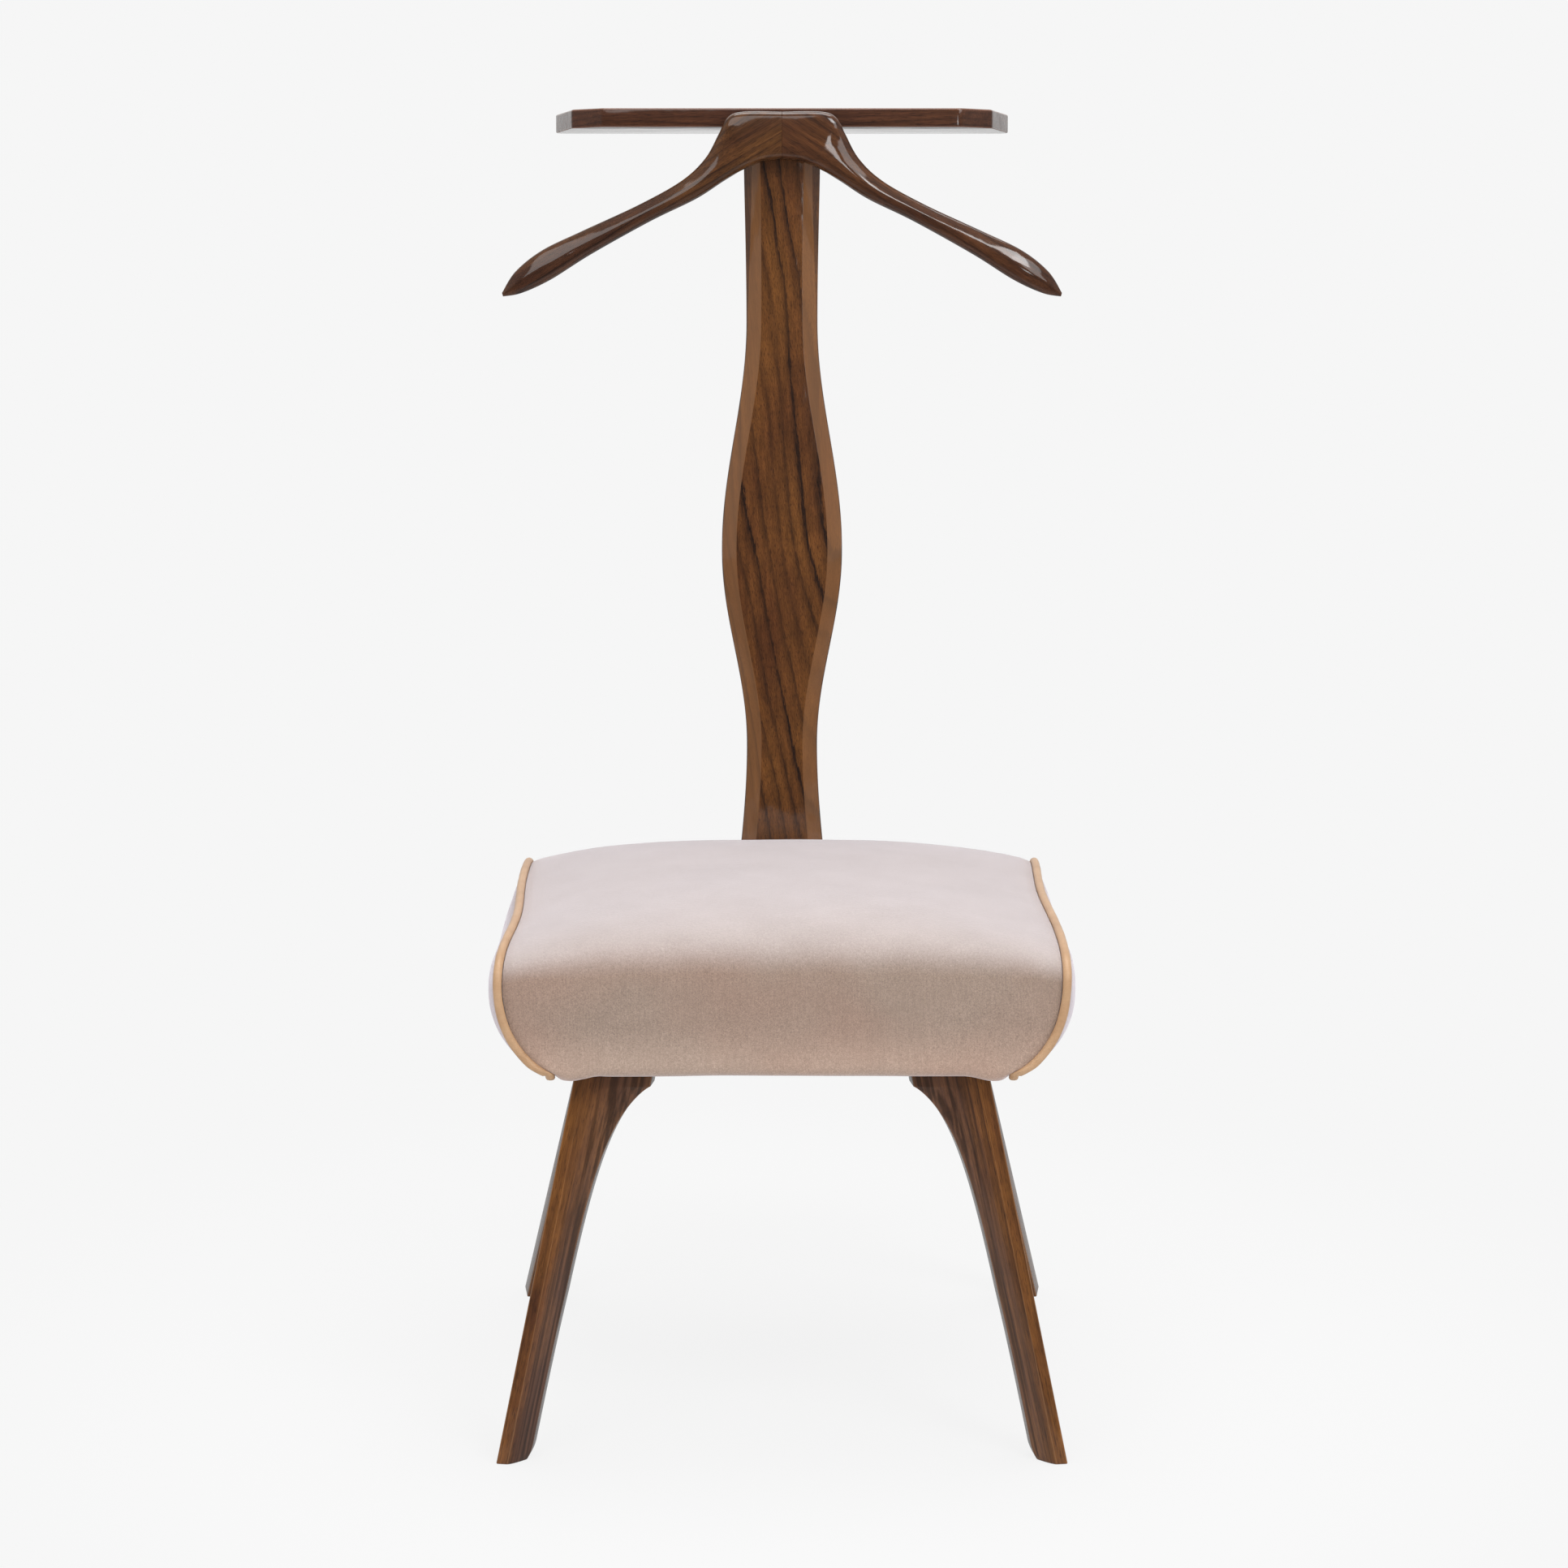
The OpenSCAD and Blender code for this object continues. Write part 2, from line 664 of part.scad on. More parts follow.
// Width of the post at a height along its front face
function post_width(run) =
  let(z = post_foot_z + run * cos(post_lean))
  let(low = belly_z - lower_waist_drop, high = belly_z + upper_waist_rise)
  z < low ? blend(post_foot_w, post_waist_w, ease((z - post_foot_z) / (low - post_foot_z)))
  : z < belly_z ? blend(post_waist_w, post_belly_w, ease((z - low) / lower_waist_drop))
  : z < high ? blend(post_belly_w, post_waist_w, ease((z - belly_z) / upper_waist_rise))
  : blend(post_waist_w, post_head_w, ease((z - high) / (shelf_height - high)));

// Chamfer along the post's back edges
post_back_edge = 3;
// Width of the narrow strip outside each bevel, along the post and at its head
strip_w = 0.8;
strip_head_w = 7;

// Section of the post, anticlockwise from above: a flat front, a bevel, a narrow outer strip
// that widens towards the head, the side and the back
function post_section(run) =
  let(w = post_width(run) / 2, head = smooth((run / post_len - 0.74) / 0.24))
  let(strip = blend(strip_w, strip_head_w, head), bevel = blend(bevel_w, 0.6 * bevel_w, head))
  let(front = w - strip - bevel, back = post_back_edge)
  let(right = [[front, 0], [w - strip, 0.9 * bevel_d], [w, bevel_d + 0.9 * strip],
    [w, post_t - back], [w - back, post_t]])
  concat(right, [for (q = backwards(right)) [-q[0], q[1]]]);

module back_post() {
  steps = 36;
  difference() {
    color(walnut) on_post() loft([for (i = [0:steps])
      let(run = post_len * i / steps) [for (q = post_section(run)) [q[0], q[1], run]]]);
    placed() {
      bolt_holes(bolt_d + 2 * hole_clear);
      for (z = bolt_heights) peg_y([0, spot_y, z], washer_d + head_room, post_t);
    }
    on_post() {
      hanger_screw_holes();
      for (x = hanger_screw_xs)
        peg_y([x, screw_seat_y, hanger_screw_run], screw_head_d + head_room, post_t);
      shelf_dowel_set(dowel_d + 2 * hole_clear, end_room);
    }
  }
}

module post_bolts() {
  start = rail_inner_y - washer_t - nut_t - bolt_tail;
  head = spot_y + washer_t;
  color(steel) placed() for (z = bolt_heights) {
    peg_y([0, start, z], bolt_d, head + head_t / 2 - start);
    peg_y([0, head, z], head_d, head_t);
  }
}

module post_washers() {
  color(steel) placed() for (z = bolt_heights, y = [rail_inner_y - washer_t, spot_y]) difference() {
    peg_y([0, y, z], washer_d, washer_t);
    peg_y([0, y - over, z], bolt_d + 2 * hole_clear, washer_t + 2 * over);
  }
}

module post_nuts() {
  color(steel) placed() for (z = bolt_heights)
    translate([0, rail_inner_y - washer_t - nut_t, z]) rotate([-90, 0, 0]) difference() {
      cylinder(d = nut_d, h = nut_t, $fn = 6);
      translate([0, 0, -over])
        cylinder(d = bolt_d + 2 * hole_clear, h = nut_t + 2 * over, $fn = round_fn);
    }
}

// The shelf

// Points of a corner at b between a and c, rounded with the radius r
function round_corner(a, b, c, r) =
  let(u = (a - b) / norm(a - b), v = (c - b) / norm(c - b), half = acos(u * v) / 2)
  let(mid = b + (u + v) / norm(u + v) * r / sin(half))
  let(p = b + u * r / tan(half) - mid, q = b + v * r / tan(half) - mid)
  [for (i = [0:6]) let(w = blend(p, q, i / 6)) mid + w * r / norm(w)];

// Roundings of the shelf's front, cut and back corners
shelf_rounds = [11, 5, 9];
// Corners of the right half of the shelf between the middles of its front and back edges
shelf_corners = [
  [0, 0],
  [shelf_w / 2 - shelf_slant - corner_cut_w, 0],
  [shelf_w / 2 - shelf_slant, corner_cut_d],
  [shelf_w / 2, shelf_d],
  [0, shelf_d]
];
shelf_half = [for (i = [1:3])
  each round_corner(shelf_corners[i - 1], shelf_corners[i], shelf_corners[i + 1], shelf_rounds[i - 1])];

module shelf_board() {
  color(walnut) on_post() difference() {
    translate([0, 0, post_len]) linear_extrude(shelf_t)
      polygon(concat(shelf_half, [for (q = backwards(shelf_half)) [-q[0], q[1]]]));
    shelf_dowel_set(dowel_d + 2 * hole_clear, end_room);
  }
}

shelf_dowel_xs = [-20, 20];
shelf_dowel_up = 0.65 * shelf_t;
shelf_dowel_down = 18;
shelf_dowel_len = shelf_dowel_up + shelf_dowel_down;

module shelf_dowel_set(d, extra) {
  for (x = shelf_dowel_xs)
    peg([x, post_t / 2, post_len - shelf_dowel_down - extra], d, shelf_dowel_len + 2 * extra);
}

module shelf_dowels() {
  color(beech) on_post() shelf_dowel_set(dowel_d, 0);
}

// The hanger

// Top and bottom edge of the right half as shares of its reach and its drop, paired from the
// seam over the shoulder and the arm to the tip
hanger_top = [[0, 0], [0.142, 0], [0.196, 0.033], [0.225, 0.117], [0.275, 0.253], [0.358, 0.372],
  [0.508, 0.5], [0.708, 0.642], [0.854, 0.75], [0.95, 0.865], [1, 0.98]];
hanger_low = [[0, 0.255], [0.067, 0.267], [0.104, 0.288], [0.138, 0.311], [0.208, 0.375],
  [0.308, 0.472], [0.467, 0.59], [0.679, 0.77], [0.825, 0.91], [0.929, 0.982], [0.996, 1]];
// Thickness and forward swing at the same stations, as shares of the yoke's and the tip's
hanger_thick = [1, 1, 1, 0.96, 0.88, 0.8, 0.75, 0.73, 0.69, 0.5, 0.14];
hanger_swing = [0, 0, 0, 0, 0, 0.07, 0.22, 0.5, 0.78, 0.93, 1];
hanger_steps = 26;

// Section of the hanger: height from -1 to 1 and depth from 0 at its flat back to 1
function hanger_section(arm) =
  let(flat = blend(0.86, 0.5, arm), knee = blend(0.97, 0.86, arm), belly = blend(0.34, 0.46, arm))
  let(front = [[1, belly], blend([0.95, 0.78], [0.93, 0.7], arm), blend([0.79, 0.94], [0.72, 0.88], arm),
    blend([0.44, 0.99], [0.38, 0.975], arm)])
  concat([[-flat, 0], [flat, 0], [knee, 0.12]], front, [[0, 1]],
    [for (q = backwards(front)) [-q[0], q[1]]], [[-knee, 0.12]]);

function hanger_ring(s) =
  let(t = curve_at(hanger_top, s), b = curve_at(hanger_low, s), mid = (t + b) / 2, up = (t - b) / 2)
  let(thick = yoke_t * curve_at(hanger_thick, s), swing = hanger_sweep * curve_at(hanger_swing, s))
  [for (q = hanger_section(smooth((s - 2) / 3)))
    let(p = mid + up * q[0])
    [p[0] * hanger_w / 2, -max(swing, 0) - thick * q[1], yoke_top_run - p[1] * hanger_drop]];

// The hanger is screwed on through the post from the back, with the screw heads sunk in
hanger_screw_xs = [-10, 10];
hanger_screw_drop = 17;
hanger_screw_run = post_len - hanger_screw_drop;
screw_head_sunk = 4;
screw_seat_y = post_t - screw_head_sunk;
hanger_screw_in = 14;
hanger_dowel_drop = 11;
hanger_dowel_run = yoke_top_run - hanger_dowel_drop;

module hanger_screw_holes() {
  for (x = hanger_screw_xs)
    peg_y([x, -hanger_screw_in - end_room, hanger_screw_run], screw_d + 2 * hole_clear,
      hanger_screw_in + end_room + screw_seat_y);
}

module hanger_dowel_shape(d, len) {
  translate([-len / 2, -yoke_t / 2, hanger_dowel_run]) rotate([0, 90, 0])
    cylinder(d = d, h = len, $fn = round_fn);
}

module hanger_half() {
  last = len(hanger_top) - 1;
  color(walnut) on_post() difference() {
    loft([for (i = [0:hanger_steps]) hanger_ring(last * i / hanger_steps)]);
    hanger_dowel_shape(dowel_d + 2 * hole_clear, dowel_len + 2 * end_room);
    hanger_screw_holes();
  }
}

module hanger_half_left() { mirror([1, 0, 0]) hanger_half(); }

module hanger_half_right() { hanger_half(); }

module hanger_dowels() {
  color(beech) on_post() hanger_dowel_shape(dowel_d, dowel_len);
}

module hanger_screws() {
  color(steel) on_post() for (x = hanger_screw_xs)
    translate([x, screw_seat_y, hanger_screw_run]) rotate([90, 0, 0])
      wood_screw(screw_seat_y + hanger_screw_in);
}

hanger_half_left();
hanger_half_right();
hanger_dowels();
hanger_screws();
back_post();
shelf_board();
shelf_dowels();
rail_front();
rail_rear();
rail_left();
rail_right();
rail_dowels();
corner_block_front_left();
corner_block_front_right();
corner_block_rear_left();
corner_block_rear_right();
webbing_lengthways();
webbing_crossways();
hessian_panel();
seat_foam();
edge_padding();
velvet_panel();
side_panel_left();
side_panel_right();
piping_left();
piping_right();
dust_cover();
front_leg_left();
front_leg_right();
rear_leg_left();
rear_leg_right();
leg_dowels();
leg_screws();
post_bolts();
post_washers();
post_nuts();
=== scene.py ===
import bpy
import math
import numpy as np
from mathutils import Matrix, Vector


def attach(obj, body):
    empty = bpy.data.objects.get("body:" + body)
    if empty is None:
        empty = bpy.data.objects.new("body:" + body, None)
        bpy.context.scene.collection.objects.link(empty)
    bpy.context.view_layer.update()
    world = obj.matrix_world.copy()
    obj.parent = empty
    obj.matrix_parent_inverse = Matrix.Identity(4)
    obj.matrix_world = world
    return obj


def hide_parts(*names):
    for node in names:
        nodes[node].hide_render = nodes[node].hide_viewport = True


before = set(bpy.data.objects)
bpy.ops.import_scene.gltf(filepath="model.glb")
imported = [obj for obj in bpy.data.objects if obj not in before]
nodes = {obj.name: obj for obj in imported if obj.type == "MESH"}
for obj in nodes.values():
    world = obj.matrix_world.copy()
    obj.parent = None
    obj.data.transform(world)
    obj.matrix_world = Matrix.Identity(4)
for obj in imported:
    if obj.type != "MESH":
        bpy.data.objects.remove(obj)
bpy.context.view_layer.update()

# Sizes of the part, in millimetres, as in its construction
SHELF_HEIGHT, POST_LEAN = 1052.0, math.radians(3.5)
FRONT_STANCE, REAR_STANCE, FRONT_REACH, REAR_REACH = 448.0, 467.0, 206.0, 240.0
SEAT_W, SEAT_D, SEAT_BOTTOM, SEAT_THICK = 439.0, 384.0, 307.0, 102.0
SEAT_CROWN, SEAT_RAKE, SIDE_DRAW, SIDE_SWELL, SIDE_SAG = 24.0, 10.0, 40.0, 22.0, 4.0
VELVET_T, PIPING_D, SOFT_GAP, HEM_R, SEAM_DIP = 2.0, 7.0, 0.3, 12.0, 4.5
DRAW_POWER, CROWN_FULLNESS, SQUARE_MID, SQUARE_END = 3.6, 2.8, 4.6, 6.0
SIDE_PAD, CROSS_PAD, RAIL_H, SIDE_RAIL_T, CROSS_RAIL_T = 11.5, 14.0, 55.0, 22.0, 26.0
STRAP_W, STRAP_T, STRAP_SHARE = 50.0, 1.6, 0.28
LEG_W, LEG_T, LEG_SIDE_INSET, LEG_INSET = 25.2, 29.0, 7.5, 10.5
KNEE_REACH, KNEE_END, KNEE_FALL, LEG_TOE = 35.0, 14.0, 35.5, math.radians(8.0)
LEG_FLAT, LEG_ROUND, FOOT_TAPER, FOOT_TAPER_H = 9.0, 13.0, 1.0, 130.0
POST_T, POST_FOOT_W, POST_WAIST_W, POST_BELLY_W, POST_HEAD_W = 26.0, 85.0, 61.5, 104.8, 66.6
BELLY_Z, LOWER_WAIST_DROP, UPPER_WAIST_RISE, BEVEL_W, BEVEL_D = 674.0, 169.0, 198.0, 12.0, 8.5
HANGER_W, HANGER_DROP, YOKE_T, HANGER_SWEEP, YOKE_BELOW_SHELF = 480.0, 156.5, 24.0, 14.0, 4.0
SHELF_W, SHELF_D, SHELF_T, SHELF_SLANT, CUT_W, CUT_D = 403.0, 80.0, 16.0, 20.5, 28.0, 16.0
BOLT_SPACING = 24.0
# Radii of the holes, in metres: dowels and bolts, screws, their heads, and nuts
DOWEL_HOLE, SCREW_HOLE, HEAD_HOLE, NUT_HOLE = 0.00415, 0.0024, 0.005, 0.0085
SIDES = (("left", -1), ("right", 1))

FRAME_W = SEAT_W - 2 * SIDE_DRAW - 2 * SIDE_PAD
FRAME_D = SEAT_D - 2 * CROSS_PAD
LEG_TOP_W = FRAME_W - 2 * LEG_SIDE_INSET
RAIL_BOTTOM = SEAT_BOTTOM + VELVET_T
RAIL_TOP = RAIL_BOTTOM + RAIL_H
SEAT_MID = SEAT_BOTTOM + SEAT_THICK / 2
SEAT_EDGE_TOP = SEAT_BOTTOM + SEAT_THICK
HEM_REACH = FRAME_D / 2 - SEAM_DIP
POST_FOOT_Z = SEAT_BOTTOM + 8
POST_FRONT_Y = SEAT_D / 2 + SOFT_GAP - (SEAT_BOTTOM + HEM_R - POST_FOOT_Z) * math.tan(POST_LEAN)
TOP_RUN = (SHELF_HEIGHT - POST_FOOT_Z) / math.cos(POST_LEAN)
POST_LEN = TOP_RUN - SHELF_T
BACK_LIMIT = POST_FRONT_Y + TOP_RUN * math.sin(POST_LEAN) + SHELF_D * math.cos(POST_LEAN)
SHIFT_Y = -(BACK_LIMIT - FRONT_REACH) / 2


# Small helpers

def linear(r, g, b):
    """An sRGB colour of 0 to 255 as the linear colour that shaders take."""
    out = []
    for c in (r, g, b):
        c /= 255
        out.append(c / 12.92 if c <= 0.04045 else ((c + 0.055) / 1.055) ** 2.4)
    return (*out, 1.0)


def smooth(t):
    t = np.clip(t, 0, 1)
    return t * t * (3 - 2 * t)


def ease(t):
    return (1 - np.cos(np.pi * t)) / 2


def mix(a, b, t):
    return a + (b - a) * t


def joined(*coordinates):
    return np.stack(coordinates, -1)


def placed(p):
    """Points from the feet's frame in millimetres to the object's frame in metres."""
    return (np.asarray(p, float) + [0, SHIFT_Y, 0]) * 0.001


def on_post(p):
    """Points from the post's frame in millimetres to the object's frame in metres."""
    p = np.asarray(p, float)
    c, s = math.cos(POST_LEAN), math.sin(POST_LEAN)
    x, y, z = p[..., 0], p[..., 1], p[..., 2]
    return placed(joined(x, y * c + z * s + POST_FRONT_Y, -y * s + z * c + POST_FOOT_Z))


def curve_at(points, s):
    """A smooth curve through a list of points, at places from 0 to its last index."""
    pts = np.asarray(points, float)
    last = len(pts) - 1
    s = np.clip(np.asarray(s, float), 0, last)
    i = np.minimum(np.floor(s).astype(int), last - 1)
    t = (s - i)[..., None] if pts.ndim > 1 else s - i
    a, b = pts[np.maximum(i - 1, 0)], pts[i]
    c, d = pts[i + 1], pts[np.minimum(i + 2, last)]
    bend, twist = 2 * a - 5 * b + 4 * c - d, 3 * b - a - 3 * c + d
    return 0.5 * (2 * b + (c - a) * t + bend * t * t + twist * t ** 3)


def rounded(poly, radii, steps=4):
    """A closed polygon with its corners rounded."""
    poly = np.asarray(poly, float)
    out = []
    for a, b, c, r in zip(np.roll(poly, 1, 0), poly, np.roll(poly, -1, 0), np.broadcast_to(radii, len(poly))):
        if r <= 0:
            out.append(b)
            continue
        u, v = (a - b) / np.linalg.norm(a - b), (c - b) / np.linalg.norm(c - b)
        half = math.acos(np.clip(u @ v, -1, 1)) / 2
        mid = b + (u + v) / np.linalg.norm(u + v) * r / math.sin(half)
        p, q = b + u * r / math.tan(half) - mid, b + v * r / math.tan(half) - mid
        for k in range(steps + 1):
            w = mix(p, q, k / steps)
            out.append(mid + w * r / np.linalg.norm(w))
    return np.array(out)


def strides(line):
    """The lengths of a line's pieces."""
    return np.linalg.norm(np.diff(line, axis=0), axis=1)


def distances(line):
    """How far along a line each of its points lies."""
    return np.r_[0, np.cumsum(strides(line))]


def resampled(line, n):
    """A line of points made n points long, evenly spaced."""
    line = np.asarray(line, float)
    d = distances(line)
    at = np.linspace(0, d[-1], n)
    return joined(*(np.interp(at, d, column) for column in line.T))


def waves(p, seed, size):
    """Smooth repeatable unevenness between about -1 and 1 at points p, in millimetres."""
    rng = np.random.default_rng(seed)
    out = np.zeros(np.asarray(p).shape[:-1])
    total = 0
    for octave in range(3):
        finer = 1.7 ** octave
        k = 2 * np.pi / (size / finer)
        for _ in range(5):
            d = rng.normal(size=3)
            d /= np.linalg.norm(d)
            out = out + np.sin(p @ (d * k * rng.uniform(0.7, 1.3)) + rng.uniform(0, 2 * np.pi)) / finer
        total += 1.6 / finer
    return out / total / 1.6


def add_mesh(name, points, faces, sharp=None):
    mesh = bpy.data.meshes.new(name)
    mesh.from_pydata([tuple(p) for p in np.asarray(points, float).tolist()], [], faces)
    mesh.validate()
    mesh.update()
    mesh.polygons.foreach_set("use_smooth", [True] * len(mesh.polygons))
    if sharp is not None:
        mesh.set_sharp_from_angle(angle=math.radians(sharp))
    obj = bpy.data.objects.new(name, mesh)
    bpy.context.scene.collection.objects.link(obj)
    return obj


def loft(name, rings, place, sharp=30):
    """A closed solid through rings of points, with a fan to a middle point at each end. Place
    turns its frame into the object's."""
    rings = np.asarray(rings, float)
    m, n = rings.shape[:2]
    pts = np.vstack([rings.reshape(-1, 3), rings[0].mean(0), rings[-1].mean(0)])
    faces = []
    for i in range(m - 1):
        for j in range(n):
            a, b = i * n + j, i * n + (j + 1) % n
            faces.append((a, b, b + n, a + n))
    last, middle = (m - 1) * n, m * n
    for j in range(n):
        k = (j + 1) % n
        faces += [(k, j, middle), (last + j, last + k, middle + 1)]
    return add_mesh(name, place(pts), faces, sharp)


def handed(rings, sx):
    """The rings of a piece on the right, or mirrored for the one on the left."""
    return rings if sx > 0 else rings[:, ::-1] * [-1, 1, 1]


def attribute(obj, name, values):
    a = obj.data.attributes.new(name, "FLOAT", "POINT")
    a.data.foreach_set("value", np.asarray(values, np.float32))


def ring_marks(obj, name, marks, strength=1.0):
    """Stores the marks of a loft's points, with nothing on the middles of its ends."""
    attribute(obj, name, np.r_[marks, 0, 0] * strength)


def cut(obj, cutters):
    """Cuts closed solids out of a mesh and drops them."""
    for c in cutters:
        m = obj.modifiers.new("cut", "BOOLEAN")
        m.operation, m.object, m.solver = "DIFFERENCE", c, "EXACT"
    bpy.context.view_layer.update()
    dg = bpy.context.evaluated_depsgraph_get()
    mesh = bpy.data.meshes.new_from_object(obj.evaluated_get(dg))
    obj.modifiers.clear()
    old, obj.data = obj.data, mesh
    bpy.data.meshes.remove(old)
    mesh.name = obj.name
    for c in cutters:
        bpy.data.objects.remove(c)
    mesh.set_sharp_from_angle(angle=math.radians(30))


def bore(place, start, end, radius):
    """A plain round cutter between two points in a frame that place turns into the object's."""
    start, end = Vector(place(start)), Vector(place(end))
    turn = (end - start).to_track_quat("Z", "Y").to_matrix()
    circle = [Vector((radius * math.cos(a), radius * math.sin(a), 0))
              for a in np.linspace(0, 2 * np.pi, 40, endpoint=False)]
    return loft("bore", [[list(p + turn @ v) for v in circle] for p in (start, end)], lambda p: p, None)


def block(low, high):
    """A plain box used only to cut other pieces."""
    (x0, y0, z0), (x1, y1, z1) = low, high
    ring = [(x0, y0), (x1, y0), (x1, y1), (x0, y1)]
    return loft("block", [[(x, y, z0) for x, y in ring], [(x, y, z1) for x, y in ring]], placed, None)


# Node building

class Shader:
    """A new material, or a given world, and short ways to fill its nodes."""

    def __init__(self, name, world=None):
        self.made = world or bpy.data.materials.new(name)
        self.made.use_nodes = True
        self.tree = self.made.node_tree
        self.tree.nodes.clear()
        self.out = self.node("OutputWorld" if world else "OutputMaterial")

    def node(self, kind, inputs=(), **props):
        made = self.tree.nodes.new("ShaderNode" + kind)
        for k, v in props.items():
            setattr(made, k, v)
        for k, v in dict(inputs).items():
            self.put(made.inputs[k], v)
        return made

    def put(self, socket, value):
        if isinstance(value, bpy.types.NodeSocket):
            self.tree.links.new(value, socket)
        else:
            socket.default_value = value

    def place(self, output="Object"):
        return self.node("TexCoord").outputs[output]

    def axis(self, vector, axis):
        return self.node("SeparateXYZ", {0: vector}).outputs[axis]

    def stored(self, name):
        return self.node("Attribute", attribute_name=name).outputs["Fac"]

    def math(self, operation, a, b=0.0, c=0.0, clamp=False):
        made = self.node("Math", {0: a, 1: b, 2: c}, operation=operation, use_clamp=clamp)
        return made.outputs[0]

    def times(self, a, b, clamp=False):
        return self.math("MULTIPLY", a, b, clamp=clamp)

    def line(self, a, slope, start):
        return self.math("MULTIPLY_ADD", a, slope, start)

    def vector(self, operation, a, b=(0, 0, 0), output=0):
        return self.node("VectorMath", {0: a, 1: b}, operation=operation).outputs[output]

    def remap(self, value, start, end, low=0.0, high=1.0, kind="SMOOTHSTEP"):
        made = self.node("MapRange", {"Value": value, "From Min": start, "From Max": end, "To Min": low,
                                      "To Max": high}, interpolation_type=kind)
        return made.outputs[0]

    def ramp(self, factor, stops):
        made = self.node("ValToRGB", {"Fac": factor})
        r = made.color_ramp
        while len(r.elements) < len(stops):
            r.elements.new(1.0)
        for e, (at, level) in zip(r.elements, stops):
            e.position = at
            e.color = (level, level, level, 1)
        return made.outputs["Color"]

    def share(self, pattern, start, end):
        """0 where a pattern is below start, and 1 where it is above end."""
        return self.ramp(pattern, [(start, 0.0), (end, 1.0)])

    def blend(self, factor, a, b, mode="MIX"):
        made = self.node("Mix", data_type="RGBA", blend_type=mode)
        # The first three sockets named Factor, A and B belong to the node's other data types
        for index, value in ((0, factor), (6, a), (7, b)):
            self.put(made.inputs[index], value)
        return made.outputs[2]

    def tinted(self, a, b):
        return self.blend(1.0, a, b, "MULTIPLY")

    def shaded(self, base, pattern, low, high, start=0.25, end=0.75):
        """A colour times a level, which goes from low to high as a pattern goes from start to end."""
        return self.tinted(base, self.ramp(pattern, [(start, low), (end, high)]))

    def noise(self, vector, scale, detail=2.0, roughness=0.5, output="Fac"):
        """Noise of one scale, or of a scale for each axis."""
        if hasattr(scale, "__len__"):
            vector, scale = self.vector("MULTIPLY", vector, scale), 1.0
        return self.node("TexNoise", {"Vector": vector, "Scale": scale, "Detail": detail,
                                      "Roughness": roughness}).outputs[output]

    def cells(self, vector, scale, randomness=1.0, feature="F1"):
        return self.node("TexVoronoi", {"Vector": vector, "Scale": scale, "Randomness": randomness},
                         feature=feature).outputs["Distance"]

    def mixed(self, factor, a, b):
        return self.node("MixShader", {0: factor, 1: a, 2: b}).outputs[0]

    def principled(self, **inputs):
        """Closes a material with its shader, and returns the material."""
        p = self.node("BsdfPrincipled", {k.replace("_", " "): v for k, v in inputs.items()})
        self.put(self.out.inputs["Surface"], p.outputs[0])
        return self.made

    def bump(self, height, strength, distance):
        return self.node("Bump", {"Height": height, "Strength": strength, "Distance": distance}).outputs[0]


def toned(colour, share):
    """An sRGB colour made darker or paler, as the linear colour that shaders take."""
    return linear(*(c * share for c in colour))


